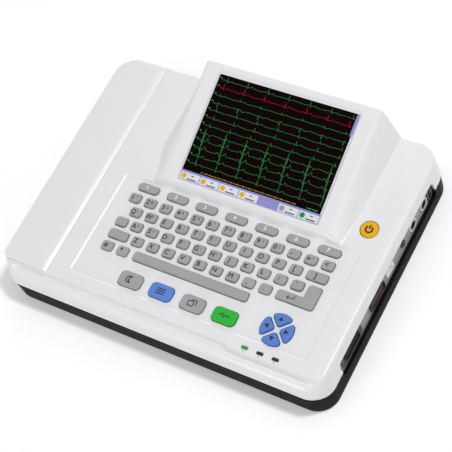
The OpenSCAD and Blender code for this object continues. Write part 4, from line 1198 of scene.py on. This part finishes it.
def rod_x(at, r, x0, x1, n):
    return loft([[(x, y, z) for y, z in disc(at, r, n)] for x in (x0, x1)])


def tube_x(at, outer, inner, x0, x1, n=40):
    """Tube along X round a place in Y and Z."""
    loops = ((outer, x0), (outer, x1), (inner, x1), (inner, x0), (outer, x0))
    return loft([[(x, y, z) for y, z in disc(at, r, n)] for r, x in loops], closed=False)


def make_sockets():
    """Round sockets: a white rim round a black core with a closed bore."""
    rims, cores = [], []
    for lo, hi in islands("round_sockets"):
        face, at = hi[0], (lo + hi)[1:] / 2
        rims.append(tube_x(at, RIM_R, CORE_R, face - RIM_L, face))
        cores.append(tube_x(at, CORE_R, SOCKET_BORE, face - BORE_L - 0.8, face - CORE_DROP))
        cores.append(tube_x(at, 5, 0.01, face - BORE_L - 1.8, face - BORE_L))
    piece(new_object("socket_rims", joined(rims)), "housing", "socket_white", "round_sockets")
    piece(new_object("socket_cores", joined(cores)), "housing", "socket_black")


def make_serial():
    """Shell of the serial connector round a black insert."""
    (lo, hi), = islands("serial_connector")
    middle = (lo + hi)[1:] / 2
    _, l, h = hi - lo
    loops = ((0, lo[0]), (0, hi[0]), (SHELL_T, hi[0]), (SHELL_T, lo[0]), (0, lo[0]))
    shell = loft([level(round_rect(l - 2 * g, h - 2 * g, 2, 6, *middle), x) for g, x in loops], closed=False)
    piece(new_object("serial_shell", moved(shell, to_right_side)), "housing", "brass", "serial_connector")
    g = SHELL_T + 0.05
    insert = prism(round_rect(l - 2 * g, h - 2 * g, 1.5, 6, *middle), lo[0] + 0.2, hi[0] - INSERT_DROP)
    piece(new_object("serial_insert", moved(insert, to_right_side)), "housing", "socket_black")


def make_pins():
    """Two staggered rows of contact pins in the serial and the patient connector."""
    panel = node_box("side_panel")[1].x
    low, high = (panel - depth for depth in CONTACT_DEPTHS)
    pins = []
    for node, upper, pitch in (("serial_connector", 5, 2.77), ("patient_connector", 8, 3.2)):
        (lo, hi), = islands(node)
        _, cy, cz = (lo + hi) / 2
        for count, dz in ((upper, CONTACT_ROW), (upper - 1, -CONTACT_ROW)):
            for i in range(count):
                at = (cy + (i - (count - 1) / 2) * pitch, cz + dz)
                pins.append(rod_x(at, CONTACT_R, low, high, 12))
    piece(new_object("connector_pins", joined(pins)), "housing", "steel")


WELD_GAP = 0.002
CRISP_ANGLE = 25


def smooth_frame():
    """Smooth shading across the facets of the CAD pieces, except at their edges."""
    tree = bpy.data.node_groups.new("smooth_facets", "GeometryNodeTree")
    tree.interface.new_socket("Geometry", in_out="INPUT", socket_type="NodeSocketGeometry")
    tree.interface.new_socket("Geometry", in_out="OUTPUT", socket_type="NodeSocketGeometry")
    start, end = tree.nodes.new("NodeGroupInput"), tree.nodes.new("NodeGroupOutput")
    weld = tree.nodes.new("GeometryNodeMergeByDistance")
    weld.inputs["Distance"].default_value = WELD_GAP * MM
    soft = tree.nodes.new("GeometryNodeSetShadeSmooth")
    crisp = tree.nodes.new("GeometryNodeSetShadeSmooth")
    crisp.domain = "EDGE"
    crisp.inputs["Shade Smooth"].default_value = False
    angle = tree.nodes.new("GeometryNodeInputMeshEdgeAngle")
    steep = tree.nodes.new("ShaderNodeMath")
    steep.operation = "GREATER_THAN"
    steep.inputs[1].default_value = math.radians(CRISP_ANGLE)
    link = tree.links.new
    link(start.outputs[0], weld.inputs["Geometry"])
    link(weld.outputs["Geometry"], soft.inputs["Geometry"])
    link(soft.outputs["Geometry"], crisp.inputs["Geometry"])
    link(angle.outputs["Unsigned Angle"], steep.inputs[0])
    link(steep.outputs[0], crisp.inputs["Selection"])
    link(crisp.outputs["Geometry"], end.inputs[0])
    for obj in frame["nodes"].values():
        obj.modifiers.new("smooth_facets", "NODES").node_group = tree


# Stage, lights and camera

ROOM_LIGHT = 0.48
FLOOR_GLOW = 0.21


def seen_ray(nodes, links):
    """1 for rays from the camera, off a mirroring surface or through glass, 0 for the others."""
    path = nodes.new("ShaderNodeLightPath")
    seen = path.outputs["Is Camera Ray"]
    for ray in ("Is Glossy Ray", "Is Transmission Ray"):
        either = nodes.new("ShaderNodeMath")
        either.operation = "MAXIMUM"
        links.new(seen, either.inputs[0])
        links.new(path.outputs[ray], either.inputs[1])
        seen = either.outputs[0]
    return seen


def make_stage():
    size = 6000
    floor = new_object("floor", ([(-size, -size, 0), (size, -size, 0), (size, size, 0), (-size, size, 0)],
                                 [(0, 1, 2, 3)]))
    s = Surface("floor_white")
    s.color(s.noise(3, 2), srgb(240, 240, 241), srgb(243, 243, 243))
    s.set(Roughness=0.9, Specular_IOR_Level=0.1, Emission_Color=(1, 1, 1, 1))
    glow = s.add("Math")
    glow.operation = "MULTIPLY"
    glow.inputs[1].default_value = FLOOR_GLOW
    s.links.new(seen_ray(s.nodes, s.links), glow.inputs[0])
    s.links.new(glow.outputs[0], s.shader.inputs["Emission Strength"])
    floor.data.materials.append(s.material)


def make_world():
    """Even white room: soft light on the object, and plain white where it is seen or mirrored."""
    world = bpy.data.worlds.new("world")
    bpy.context.scene.world = world
    world.use_nodes = True
    nodes, links = world.node_tree.nodes, world.node_tree.links
    sky = nodes["Background"]
    sky.inputs["Color"].default_value = (1, 1, 1, 1)
    strength = nodes.new("ShaderNodeMapRange")
    strength.inputs["To Min"].default_value = ROOM_LIGHT
    strength.inputs["To Max"].default_value = 1
    links.new(seen_ray(nodes, links), strength.inputs["Value"])
    links.new(strength.outputs["Result"], sky.inputs["Strength"])


def lamp(name, toward, distance, size, power):
    """Round lamp that shines on the object from a direction; distances in metres."""
    aim = Vector((0, 0, 0.05))
    data = bpy.data.lights.new(name, "AREA")
    data.shape = "DISK"
    data.size = size
    data.energy = power
    obj = bpy.data.objects.new(name, data)
    obj.location = aim + Vector(toward).normalized() * distance
    obj.rotation_euler = (aim - obj.location).to_track_quat("-Z", "Y").to_euler()
    bpy.context.scene.collection.objects.link(obj)


def make_lights():
    """A lamp high at the right, a low one in front and a faint low one behind for the bevels."""
    lamp("key_light", (0.38, 0.2, 0.9), 3, 0.4, 41)
    lamp("fill_light", (-0.2, -0.97, 0.12), 2.4, 0.7, 14)
    lamp("rim_light", (-0.44, 0.87, 0.22), 3, 0.5, 9)


def make_camera():
    data = bpy.data.cameras.new("camera")
    data.sensor_width = 36
    data.lens = data.sensor_width * FOCAL_PX / PHOTO_PX
    data.clip_start, data.clip_end = 0.05, 50
    camera = bpy.data.objects.new("camera", data)
    aim = (CAMERA_AIM - CAMERA_AT).normalized()
    right = aim.cross(Vector((0, 0, 1))).normalized()
    axes = Matrix((right, right.cross(aim), -aim)).transposed()
    turn = Matrix.Rotation(math.radians(CAMERA_ROLL), 3, "Z")
    camera.matrix_world = Matrix.Translation(CAMERA_AT * MM) @ (axes @ turn).to_4x4()
    bpy.context.scene.collection.objects.link(camera)
    bpy.context.scene.camera = camera


make_camera()
dress_frame()
make_cover()
make_lid()
make_base()
make_keys()
make_lenses()
make_legends()
make_signs()
make_marks()
make_display()
make_sockets()
make_serial()
make_pins()
smooth_frame()
make_stage()
make_world()
make_lights()
bpy.context.scene.view_settings.view_transform = "Standard"
